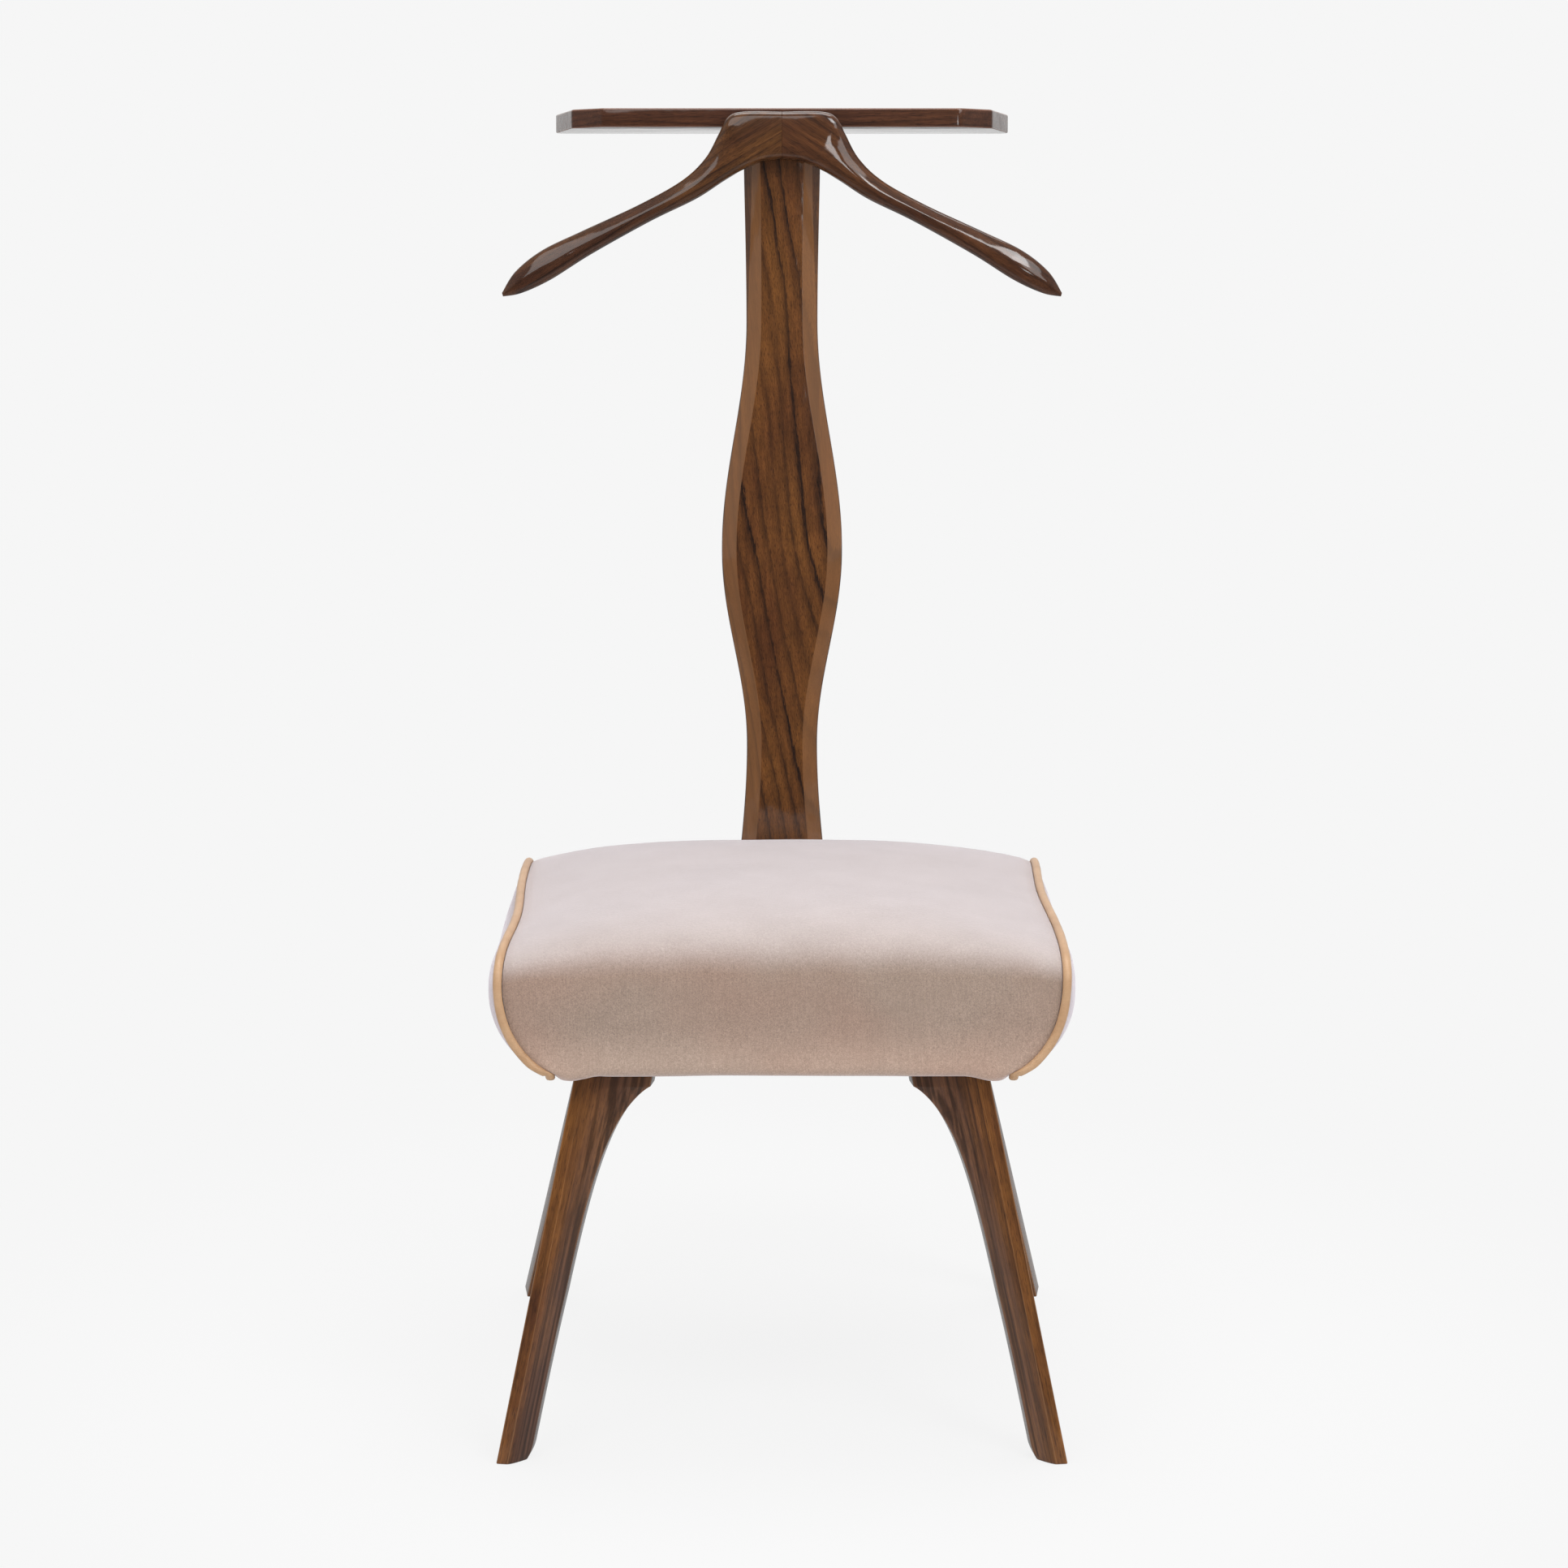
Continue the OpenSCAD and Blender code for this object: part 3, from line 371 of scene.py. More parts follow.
def wood(name, turn, pith, seed, ring, stain, contrast, wander=1.0, jag=0.3, coat=1.0, rough=0.36,
         edge=None, inner=None):
    """Stained, lacquered wood cut from a log: turn brings the grain upright, pith is the place of
    the log's middle in metres, ring the growth rings' spacing, and stain the early wood's colour,
    the late wood's and that of reddish clouds."""
    light, dark, reddish = stain
    s = Shader(name)
    local = s.node("Mapping", {"Vector": s.place(), "Rotation": tuple(turn.to_euler())}).outputs[0]
    local = s.vector("ADD", local, pith)
    far = s.vector("ADD", local, (seed * 3.17 % 7, seed * 5.71 % 11, seed * 1.93 % 5))

    def grain(scale, detail=2.0, roughness=0.55, output="Fac"):
        return s.noise(far, scale, detail, roughness, output)

    bundle = grain((950.0, 950.0, 15.0), 2.0, 0.6)
    # The rings wander slowly and, much less, from one place to the next
    bent = local
    for scale, reach in (((7.0, 7.0, 1.7), 0.05), ((70.0, 70.0, 9.0), 0.0045)):
        drift = s.vector("SUBTRACT", grain(scale, output="Color"), (0.5, 0.5, 0.5))
        bent = s.vector("ADD", bent, s.vector("MULTIPLY", drift, (reach * wander, reach * wander, 0)))
    radius = s.vector("LENGTH", s.vector("MULTIPLY", bent, (1, 1, 0)), output="Value")
    turns = s.line(radius, 1 / ring, s.times(bundle, jag))
    # One year's growth: pale early wood that darkens slowly and ends in a thin dark line
    year = s.ramp(s.math("FRACT", turns), [(0.0, 0.6), (0.06, 0.2), (0.28, 0.02), (0.55, 0.1), (0.8, 0.5),
                                           (0.94, 1.0), (1.0, 0.75)])
    which = s.node("TexNoise", {"W": s.times(s.math("FLOOR", turns), 7.31), "Scale": 1.0, "Detail": 0.0},
                   noise_dimensions="1D").outputs["Fac"]
    which = s.remap(which, 0.3, 0.7, 0.3, 1.0, "LINEAR")
    fading = s.ramp(grain((18.0, 18.0, 5.0)), [(0.32, 0.45), (0.6, 1.0)])
    amount = s.times(s.times(year, which), s.times(fading, contrast), clamp=True)
    fibre = grain((1700.0, 1700.0, 34.0), 3.0, 0.6)
    pore = s.ramp(grain((2400.0, 2400.0, 110.0), 1.0), [(0.0, 1.0), (0.35, 1.0), (0.43, 0.0), (1.0, 0.0)])
    clouds = s.share(grain((26.0, 26.0, 8.0), 3.0), 0.34, 0.66)
    base = s.blend(clouds, linear(*light), linear(*reddish))
    base = s.blend(amount, base, linear(*dark))
    for pattern, low, high in ((fibre, 0.68, 1.3), (grain((260.0, 260.0, 8.0), 3.0), 0.7, 1.28),
                               (grain((75.0, 75.0, 50.0), 3.0), 0.86, 1.14)):
        base = s.shaded(base, pattern, low, high)
    base = s.blend(s.times(pore, 0.55), base, toned(dark, 0.5))
    if inner is not None:
        # Straight fine stripes of grain, and a painted shade on the side that faces inwards
        part = s.stored("inner")
        base = s.blend(s.times(part, 0.6), base, linear(*inner))
        base = s.blend(part, base, s.shaded(base, s.noise(far, (360.0, 360.0, 4.0), 1.0), 0.55, 1.3, 0.4, 0.6))
    # Paler arrises: partly wear, partly painted highlight where the rounded edges catch the light
    if edge is not None:
        base = s.blend(s.stored("edge"), base, linear(*edge))
    height = s.math("ADD", s.times(fibre, 0.5), s.times(pore, -0.6))
    # The lacquer lies a little wavy and follows the grain
    film = s.math("ADD", s.noise(far, (60.0, 60.0, 28.0)), s.times(fibre, 0.02))
    return s.principled(Base_Color=base, Roughness=s.line(bundle, 0.16, rough - 0.08), Specular_IOR_Level=0.08,
                        Coat_Weight=coat, Coat_Roughness=0.07, Coat_IOR=1.5,
                        Normal=s.bump(height, 0.25, 0.00012), Coat_Normal=s.bump(film, 1.0, 0.0006))


def beech(name, turn, seed):
    """The pale wood of the frame and the dowels, which isn't stained or lacquered."""
    return wood(name, turn, (0.03, 0.05, 0.0), seed, ring=0.004, contrast=0.5, wander=0.6, coat=0.0, rough=0.6,
                stain=((206, 172, 128), (176, 136, 92), (198, 158, 114)))


def velvet(name, face=(157, 138, 125)):
    """Short pile velvet with painted light: paler on top, as lit from above and seen with sheen, and paler low
    down, as lit from the floor. The pile's ends show on the upright faces, with fine speckle and faint brushed
    patches."""
    s = Shader(name)
    where = s.place()
    pile = s.noise(where, 1250.0, 2.0, 0.7)
    tufts = s.noise(where, 560.0, 2.0, 0.6)
    rows = s.noise(where, (900.0, 500.0, 60.0))
    brushed = s.noise(where, (22.0, 30.0, 34.0), 3.0, 0.6)
    wide = s.noise(where, (7.0, 9.0, 9.0))
    # Painted light: the faces that turn up are painted a paler colour, as lit from above and seen with sheen
    rise = s.math("ADD", s.axis(s.place("Normal"), "Z"), s.line(brushed, 0.16, -0.08))
    rise = s.remap(rise, 0.15, 1.02, kind="LINEAR")
    upright = s.blend(s.share(wide, 0.38, 0.62), linear(*face), linear(face[0] + 2, face[1] - 3, face[2] - 4))
    # Painted light: the upright faces are painted paler low down, as lit from the floor, and a little darker
    # higher up
    low = s.remap(s.axis(where, "Z"), 0.305, 0.355, 1.22, 0.9)
    upright = s.vector("MULTIPLY", upright, s.node("CombineXYZ", {0: low, 1: low, 2: low}).outputs[0])
    base = s.blend(rise, upright, linear(180, 169, 166))
    speckle = s.tinted(s.ramp(pile, [(0.25, 0.74), (0.75, 1.24)]), s.ramp(tufts, [(0.25, 0.88), (0.75, 1.11)]))
    # The speckle and the rows of the pile are plainer on the faces that turn up
    calm = s.line(rise, -0.6, 1.0)
    base = s.blend(calm, base, s.tinted(base, speckle))
    base = s.blend(calm, base, s.shaded(base, rows, 0.93, 1.06))
    base = s.shaded(base, brushed, 0.965, 1.03, 0.3, 0.7)
    # Painted shade along the seams, ragged, where the cloth rolls into the piping's groove, with less of it on
    # the faces that turn up
    painted_seam_shade = s.times(s.stored("seam"), s.line(s.noise(where, 700.0, 3.0, 0.7), 1.6, -0.2), clamp=True)
    painted_seam_shade = s.times(painted_seam_shade, s.line(rise, -0.75, 0.85))
    base = s.blend(painted_seam_shade, base, linear(96, 78, 66))
    height = s.math("ADD", s.math("ADD", pile, tufts), s.times(brushed, 0.6))
    return s.principled(Base_Color=base, Roughness=0.95, Specular_IOR_Level=0.1, Sheen_Weight=1.0,
                        Sheen_Roughness=0.38, Sheen_Tint=linear(236, 232, 240),
                        Normal=s.bump(height, 0.5, 0.0006))


def leather(name):
    s = Shader(name)
    where = s.place()
    pebble = s.share(s.cells(where, 1500.0, feature="DISTANCE_TO_EDGE"), 0.0, 0.12)
    crease = s.noise(where, (200.0, 900.0, 900.0), 3.0, 0.6)
    clouds = s.share(s.noise(where, 45.0, 3.0, 0.6), 0.3, 0.7)
    base = s.blend(clouds, linear(194, 157, 121), linear(178, 139, 102))
    # Painted shade in the grooves between the pebbles of the grain
    base = s.shaded(base, pebble, 0.9, 1.0, 0.0, 1.0)
    base = s.shaded(base, crease, 0.9, 1.05)
    height = s.math("ADD", s.times(pebble, 0.3), crease)
    return s.principled(Base_Color=base, Roughness=s.line(crease, 0.2, 0.34), Specular_IOR_Level=0.5,
                        Coat_Weight=0.15, Coat_Roughness=0.3, Normal=s.bump(height, 0.2, 0.0002))


def steel(name):
    s = Shader(name)
    where = s.place()
    grain = s.noise(where, 900.0, 3.0, 0.6)
    spots = s.share(s.noise(where, 160.0, 3.0, 0.6), 0.35, 0.7)
    return s.principled(Base_Color=s.blend(spots, linear(196, 196, 200), linear(160, 158, 156)), Metallic=1.0,
                        Roughness=s.line(grain, 0.25, 0.22), Normal=s.bump(grain, 0.15, 0.0001))


def woven(name, one, two, pitch, axes=("X", "Y"), stripe=None):
    """Plain weave of two threads across each other, each thread pitch metres wide. A stripe is
    the middle between its two lines, half the distance between them, and its colour."""
    s = Shader(name)
    where = s.place()
    split = s.node("SeparateXYZ", {0: where})
    u = s.math("SINE", s.times(split.outputs[axes[0]], math.pi / pitch))
    v = s.math("SINE", s.times(split.outputs[axes[1]], math.pi / pitch))
    top = s.math("GREATER_THAN", s.times(u, v), 0.0)
    height = s.node("Mix", {0: top, 2: s.math("ABSOLUTE", u), 3: s.math("ABSOLUTE", v)}).outputs[0]
    base = s.blend(top, linear(*one), linear(*two))
    # Painted shade where the threads dip under each other
    base = s.shaded(base, height, 0.4, 1.0, 0.0, 0.6)
    base = s.shaded(base, s.noise(where, (300.0, 40.0, 300.0)), 0.85, 1.1)
    if stripe is not None:
        centre, half, colour = stripe
        off = s.math("ABSOLUTE", s.math("SUBTRACT", split.outputs[axes[0]], centre))
        in_line = s.math("LESS_THAN", s.math("ABSOLUTE", s.math("SUBTRACT", off, half)), 0.0012)
        base = s.blend(in_line, base, linear(*colour))
    lift = s.math("ADD", height, s.times(s.noise(where, 1800.0, 3.0, 0.65), 0.3))
    return s.principled(Base_Color=base, Roughness=0.9, Specular_IOR_Level=0.2,
                        Normal=s.bump(lift, 0.7, 0.0005))


def foam(name, colour):
    s = Shader(name)
    where = s.place()
    cells = s.cells(where, 900.0)
    # Painted shade in the open pores, darker in the middle of each cell
    base = s.blend(s.ramp(cells, [(0.0, 1.0), (0.5, 0.0)]), linear(*colour), toned(colour, 0.72))
    base = s.shaded(base, s.noise(where, 40.0, 3.0), 0.92, 1.04, 0.3, 0.7)
    return s.principled(Base_Color=base, Roughness=0.95, Specular_IOR_Level=0.1,
                        Normal=s.bump(cells, 0.6, 0.0006))


def felt(name, colour):
    """Thin bonded cloth of loose fibres with a faint pattern of bonding dots."""
    s = Shader(name)
    where = s.place()
    fibre = s.noise(where, (900.0, 500.0, 900.0), 4.0, 0.7)
    dots = s.ramp(s.cells(where, 420.0, 0.25), [(0.0, 1.0), (0.3, 0.0)])
    base = s.blend(s.share(fibre, 0.3, 0.75), toned(colour, 0.7), toned(colour, 1.8))
    base = s.blend(s.times(dots, 0.5), base, toned(colour, 0.5))
    return s.principled(Base_Color=base, Roughness=0.92, Specular_IOR_Level=0.2, Sheen_Weight=0.15,
                        Normal=s.bump(s.math("SUBTRACT", fibre, dots), 0.4, 0.0003))


# Camera, stage and light

scene = bpy.context.scene
scene.view_settings.view_transform = "Standard"

cam = bpy.data.objects.new("camera", bpy.data.cameras.new("camera"))
scene.collection.objects.link(cam)
cam.data.sensor_width = 36.0
cam.data.lens = 79.81
cam.data.shift_x = 0.0013
cam.location = (0.0, -2.8515, 0.989)
cam.rotation_euler = (math.radians(90 - 9.816), 0.0, 0.0)
cam.data.clip_start, cam.data.clip_end = 0.05, 60.0
scene.camera = cam

BACKGROUND = linear(246, 246, 246)
FLOOR_HALF = 14.0

# The camera, gloss and glass see the floor as a plain pale one, and it lights other surfaces as a
# matt one. Near the object the matt one shows a little, with the shadow.
s = Shader("floor")
place = s.place()
away = s.vector("LENGTH", s.vector("MULTIPLY", place, (1.0, 0.85, 0.0)), output="Value")
near = s.remap(away, 0.35, 0.85, 1.0, 0.0)
# Gloss on the object's front shows the floor's dimmer part, towards the camera
depth = s.axis(place, "Y")
in_gloss = s.math("ADD", s.remap(depth, -1.3, -0.5, 0.12, 0.38), s.remap(depth, 2.8, 5.0, 0.0, 0.6))
path = s.node("LightPath").outputs
level = s.line(path["Is Glossy Ray"], s.math("SUBTRACT", in_gloss, 1.0), 1.0)
plain = s.node("Emission", {"Color": BACKGROUND, "Strength": level}).outputs[0]
matt = s.node("BsdfDiffuse", {"Color": linear(238, 238, 238)}).outputs[0]
seen = s.math("MAXIMUM", path["Is Camera Ray"], path["Is Glossy Ray"])
seen = s.math("MAXIMUM", seen, path["Is Transmission Ray"])
share = s.times(s.math("SUBTRACT", 1.0, s.times(near, 0.1)), seen)
s.put(s.out.inputs["Surface"], s.mixed(share, matt, plain))
QUARTERS = ((-1, -1), (1, -1), (1, 1), (-1, 1))
floor = add_mesh("floor", [(x * FLOOR_HALF, y * FLOOR_HALF, 0) for x, y in QUARTERS], [(0, 1, 2, 3)])
floor.data.materials.append(s.made)

# The studio is dim behind the camera and pale at its sides and back
scene.world = bpy.data.worlds.new("studio")
s = Shader("studio", scene.world)
heading = s.axis(s.place("Generated"), "Y")
rearward = s.remap(heading, -0.9, -0.3)
backdrop = s.remap(heading, 0.55, 0.97, 0.0, 0.55)
path = s.node("LightPath").outputs
in_light, in_gloss = s.line(rearward, 0.32, 0.52), s.math("ADD", s.line(rearward, 0.35, 0.1), backdrop)
soft_sky, gloss_sky, plain_sky = [
    s.node("Background", {"Color": colour, "Strength": level}).outputs[0]
    for colour, level in (((1, 1, 1, 1), in_light), (BACKGROUND, in_gloss), (BACKGROUND, 1.0))]
seen = s.math("MAXIMUM", path["Is Camera Ray"], path["Is Transmission Ray"])
s.put(s.out.inputs["Surface"], s.mixed(seen, s.mixed(path["Is Glossy Ray"], soft_sky, gloss_sky), plain_sky))

# Each lamp's name, place, aim, width and height in metres, and power in watts
LAMPS = (
    ("key_left", (-1.0, -2.4, 2.8), (0, 0, 0.6), (2.2, 2.0), 31),
    ("front_right", (1.25, -1.45, 1.9), (0, 0, 0.85), (0.9, 1.1), 9),
    ("low_right", (0.68, -2.8, 1.15), (0, 0, 1.0), (0.44, 0.42), 4.2),
    ("high_right", (0.93, -1.58, 2.5), (0, 0, 0.95), (0.7, 0.7), 14),
    ("top", (0.1, 0.3, 2.6), (0, 0, 0.5), (1.4, 1.2), 22))
for name, at, aim, size, power in LAMPS:
    light = bpy.data.lights.new(name, "AREA")
    light.shape = "RECTANGLE"
    light.size, light.size_y = size
    light.energy = power
    lamp = bpy.data.objects.new(name, light)
    scene.collection.objects.link(lamp)
    lamp.location = at
    lamp.rotation_euler = (Vector(aim) - Vector(at)).to_track_quat("-Z", "Y").to_euler()


# Materials

def upright(along, face=(0, -1, 0)):
    """The turn that brings a piece's grain direction to +Z, with its broad face towards -Y."""
    z = Vector(along).normalized()
    y = -(Vector(face) - z * Vector(face).dot(z)).normalized()
    x = y.cross(z)
    return Matrix((x, y, z))


LEAN_FRONT = Vector((0, -math.cos(POST_LEAN), math.sin(POST_LEAN)))
LEAN_GRAIN = (-0.085, math.sin(POST_LEAN) + 0.1, 1.0)
# The edge colours below are the paler arrises: partly wear, partly painted highlight
WOOD_POST = wood("walnut_post", upright(LEAN_GRAIN, LEAN_FRONT), (0.085, -0.2, 0.0), 3, ring=0.0105,
                 contrast=1.4, jag=0.4, stain=((105, 65, 29), (38, 21, 12), (84, 48, 23)), edge=(140, 98, 64))
WOOD_SHELF = wood("walnut_shelf", upright((1, 0.02, 0.02), LEAN_FRONT), (0.05, 0.02, 0.0), 8, ring=0.0052,
                  contrast=0.8, stain=((75, 45, 28), (42, 23, 17), (67, 38, 26)), edge=(140, 100, 84))
WOOD_ARM_L = wood("walnut_arm_left", upright((1, 0.05, 0.62), LEAN_FRONT), (0.03, -0.04, 0.0), 21, ring=0.0062,
                  contrast=1.1, stain=((92, 58, 29), (38, 21, 13), (62, 35, 21)))
WOOD_ARM_R = wood("walnut_arm_right", upright((1, -0.05, -0.62), LEAN_FRONT), (-0.04, -0.05, 0.0), 34,
                  ring=0.0085, contrast=1.0, stain=((90, 55, 29), (38, 20, 13), (62, 34, 21)))
# The legs' stain; their arris colour, partly wear and partly painted highlight; and the painted shade on their
# inner sides
LEG_STAIN, LEG_ARRIS_WEAR_AND_HIGHLIGHT, LEG_INNER_SHADE = ((124, 79, 36), (54, 32, 20), (84, 49, 28)), (150, 108, 72), (78, 58, 50)
BEECH = beech("beech_plain", upright((1, 0, 0)), 5)
BEECH_UP = beech("beech_upright", upright((0, 0, 1)), 6)
BEECH_DEEP = beech("beech_deep", upright((0, 1, 0), (0, 0, 1)), 7)
VELVET = velvet("velvet_taupe")
# A paler copy of the velvet for the side panels, with their sheen painted into its colour
VELVET_SIDE_SHEEN = velvet("velvet_sides_painted_sheen", (172, 162, 164))
PIPING = leather("piping_caramel")
STEEL = steel("zinc_plated")
FOAM = foam("foam_open", (226, 212, 160))
HESSIAN = woven("hessian_weave", (178, 148, 104), (160, 130, 88), 0.0016)
JUTE, STRIPE = ((150, 122, 84), (128, 102, 68), 0.0022), (0.018, (120, 46, 34))
WEB_LONG = woven("webbing_long", *JUTE, stripe=(0.0, *STRIPE))
WEB_CROSS = woven("webbing_cross", *JUTE, axes=("Y", "X"), stripe=(SHIFT_Y * 0.001, *STRIPE))
FELT = felt("dust_felt", (30, 29, 30))


def dress(obj, material, slot, *stands_for):
    """Gives a finished piece its material and body, and hides the solids that it stands for."""
    obj.data.materials.clear()
    obj.data.materials.append(material)
    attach(obj, "root")
    if stands_for:
        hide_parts(*stands_for)


def paint(material, *names):
    for n in names:
        slots = nodes[n].data.materials
        if len(slots) == 0:
            slots.append(material)
        for i in range(len(slots)):
            slots[i] = material


# Sections with rounded corners

ROUND_STEPS = 4
PER_CORNER = ROUND_STEPS + 1


def corner_marks(strengths):
    """Marks the middle of each rounded corner of a section, for its paler arris: partly wear, partly painted
    highlight. None stands for a point that isn't rounded."""
    hump = [1 - abs(2 * k / ROUND_STEPS - 1) for k in range(PER_CORNER)]
    marks = []
    for strength in strengths:
        marks += [0.0] if strength is None else [h * strength for h in hump]
    return np.array(marks)


# Post

def post_width(z):
    low, high = BELLY_Z - LOWER_WAIST_DROP, BELLY_Z + UPPER_WAIST_RISE
    if z < low:
        return mix(POST_FOOT_W, POST_WAIST_W, ease((z - POST_FOOT_Z) / (low - POST_FOOT_Z)))
    if z < BELLY_Z:
        return mix(POST_WAIST_W, POST_BELLY_W, ease((z - low) / LOWER_WAIST_DROP))
    if z < high:
        return mix(POST_BELLY_W, POST_WAIST_W, ease((z - BELLY_Z) / UPPER_WAIST_RISE))
    return mix(POST_WAIST_W, POST_HEAD_W, ease((z - high) / (SHELF_HEIGHT - high)))


def post_section(run, inset):
    """The post's section at a run up from its foot, drawn in by an inset at its ends."""
    w = post_width(POST_FOOT_Z + run * math.cos(POST_LEAN)) / 2
    # Towards the head the bevels narrow and side strips take their place
    head = smooth((run / POST_LEN - 0.74) / 0.24)
    strip, bevel, back = mix(0.8, 7, head), mix(BEVEL_W, 0.6 * BEVEL_W, head), 3.0
    right = [(w - strip - bevel, 0), (w - strip, 0.9 * BEVEL_D), (w, BEVEL_D + 0.9 * strip), (w, POST_T - back),
             (w - back, POST_T)]
    radii = [0.7, 0.3, 0.5, 1.2, 1.2]
    poly = rounded(right + [(-x, y) for x, y in right[::-1]], radii + radii[::-1], ROUND_STEPS)
    return mix(poly, np.array([0, POST_T / 2]), inset / (POST_T / 2))


heights = [0, 0.6, *np.linspace(0, POST_LEN, 190)[1:-1], POST_LEN - 0.3, POST_LEN]
insets = [0.6] + [0] * (len(heights) - 2) + [0.3]
rings = np.array([[(x, y, h) for x, y in post_section(h, inset)] for h, inset in zip(heights, insets)])
post = loft("back_post_fine", rings, on_post, 28)
# Paler arrises along the post: partly wear, partly painted highlight
marks = corner_marks([1, 0.5, 0.6, 0.4, 0.4, 0.4, 0.4, 0.6, 0.5, 1])
# The bevels, between the first two corners and the last two, are painted a little paler than the front: partly
# wear, partly painted light that they catch
marks[[PER_CORNER - 1, PER_CORNER, -PER_CORNER - 1, -PER_CORNER]] = 0.85
ring_marks(post, "edge", np.tile(marks, len(rings)), 0.55)

BOLT_MID = (POST_FOOT_Z + RAIL_TOP) / 2
SPOT_Y = POST_FRONT_Y + POST_T - 3.5
SCREW_RUN, SCREW_SIDE = POST_LEN - 17, 10
PEG_SIDE, PEG_MID = 20, POST_T / 2
cutters = []
for z in (BOLT_MID - BOLT_SPACING / 2, BOLT_MID + BOLT_SPACING / 2):
    cutters += [bore(placed, (0, SPOT_Y, z), (0, SPOT_Y + 20, z), NUT_HOLE),
                bore(placed, (0, SPOT_Y - 40, z), (0, SPOT_Y + 1, z), DOWEL_HOLE)]
for x in (-SCREW_SIDE, SCREW_SIDE):
    cutters += [bore(on_post, (x, POST_T - 4, SCREW_RUN), (x, POST_T + 9, SCREW_RUN), HEAD_HOLE),
                bore(on_post, (x, -5, SCREW_RUN), (x, POST_T - 3, SCREW_RUN), SCREW_HOLE)]
for x in (-PEG_SIDE, PEG_SIDE):
    cutters.append(bore(on_post, (x, PEG_MID, POST_LEN - 18.8), (x, PEG_MID, POST_LEN + 5), DOWEL_HOLE))
cut(post, cutters)
dress(post, WOOD_POST, "walnut", "back_post")


# Shelf

def outward(poly):
    """Unit vectors pointing out of a polygon that runs anticlockwise."""
    step = np.roll(poly, -1, 0) - np.roll(poly, 1, 0)
    n = joined(step[:, 1], -step[:, 0])
    return n / np.linalg.norm(n, axis=1)[:, None]


right = [(SHELF_W / 2 - SHELF_SLANT - CUT_W, 0), (SHELF_W / 2 - SHELF_SLANT, CUT_D), (SHELF_W / 2, SHELF_D)]
corners = rounded(right + [(-x, y) for x, y in right[::-1]], [11, 5, 9, 9, 5, 11], 12)
plan = []
for a, b in zip(corners, np.roll(corners, -1, 0)):
    pieces = max(1, int(np.linalg.norm(b - a) / 6))
    plan += [mix(a, b, k / pieces) for k in range(pieces)]
plan = np.array(plan)
out = outward(plan)
ROUND_TOP, ROUND_LOW = 1.8, 1.1
QUARTER = np.pi / 2
turns = [(a, ROUND_LOW * (1 - math.sin(a)), ROUND_LOW * (1 - math.cos(a))) for a in np.linspace(0, QUARTER, 5)]
turns += [(a, ROUND_TOP * (1 - math.cos(a)), SHELF_T - ROUND_TOP * (1 - math.sin(a)))
          for a in np.linspace(0, QUARTER, 7)]
rings = [[(x, y, POST_LEN + rise) for x, y in plan - out * inset] for _, inset, rise in turns]
shelf = loft("shelf_board_fine", rings, on_post, 40)
# Paler top and lower edges: partly wear, partly painted highlight
ring_marks(shelf, "edge", np.repeat([math.sin(2 * a) for a, _, _ in turns], len(plan)), 0.5)
cut(shelf, [bore(on_post, (x, PEG_MID, POST_LEN - 5), (x, PEG_MID, POST_LEN + 11.2), DOWEL_HOLE)
            for x in (-PEG_SIDE, PEG_SIDE)])
dress(shelf, WOOD_SHELF, "walnut", "shelf_board")


# Hanger

# The outline's upper and lower line, the thickness and the sweep, from the middle to the tip, as
# shares of the half width, the drop, the yoke's thickness and the whole sweep
HANGER_TOP = [(0, 0), (0.142, 0), (0.196, 0.033), (0.225, 0.117), (0.275, 0.253), (0.358, 0.372),
              (0.508, 0.5), (0.708, 0.642), (0.854, 0.75), (0.95, 0.865), (1, 0.98)]
HANGER_LOW = [(0, 0.255), (0.067, 0.267), (0.104, 0.288), (0.138, 0.311), (0.208, 0.375), (0.308, 0.472),
              (0.467, 0.59), (0.679, 0.77), (0.825, 0.91), (0.929, 0.982), (0.996, 1)]
HANGER_THICK = [1, 1, 1, 0.96, 0.88, 0.8, 0.75, 0.73, 0.69, 0.5, 0.14]
HANGER_SWING = [0, 0, 0, 0, 0, 0.07, 0.22, 0.5, 0.78, 0.93, 1]
YOKE_TOP = TOP_RUN - YOKE_BELOW_SHELF


def hanger_section(arm):
    """Half heights and depths around a section: the yoke's at arm 0 and the arm's at arm 1."""
    def between(yoke, end):
        return tuple(mix(np.array(yoke), np.array(end), arm))

    flat, knee, belly = mix(0.86, 0.5, arm), mix(0.97, 0.86, arm), mix(0.34, 0.46, arm)
    front = [(1, belly), between((0.95, 0.78), (0.93, 0.7)), between((0.79, 0.94), (0.72, 0.88)),
             between((0.44, 0.99), (0.38, 0.975))]
    # The arms' upper half is planed flatter than the lower one
    upper = [(1, belly), between(front[1], (0.95, 0.66)), between(front[2], (0.78, 0.79)),
             between(front[3], (0.42, 0.905))]
    poly = [(-flat, 0), (0, 0), (flat, 0), (knee, 0.12)] + upper + [(0, 1)] \
        + [(-h, d) for h, d in front[::-1]] + [(-knee, 0.12)]
    fine = curve_at([poly[-1]] + poly + poly[:2], 1 + np.arange(len(poly) * 5) / 5)
    fine[:, 1] = np.maximum(fine[:, 1], 0)
    return fine


def hanger_ring(s, shrink=0.0):
    t, b = curve_at(HANGER_TOP, s), curve_at(HANGER_LOW, s)
    mid, up = (t + b) / 2, (t - b) / 2
    thick = YOKE_T * curve_at(HANGER_THICK, s)
    swing = max(HANGER_SWEEP * curve_at(HANGER_SWING, s), 0)
    sec = mix(hanger_section(smooth((s - 2) / 3)), np.array([0, 0.5]), shrink)
    sec[:, 1] = np.where(sec[:, 1] < 0.02, 0.0, sec[:, 1])
    p = mid + up * sec[:, :1]
    return joined(p[:, 0] * HANGER_W / 2, -swing - thick * sec[:, 1], YOKE_TOP - p[:, 1] * HANGER_DROP)


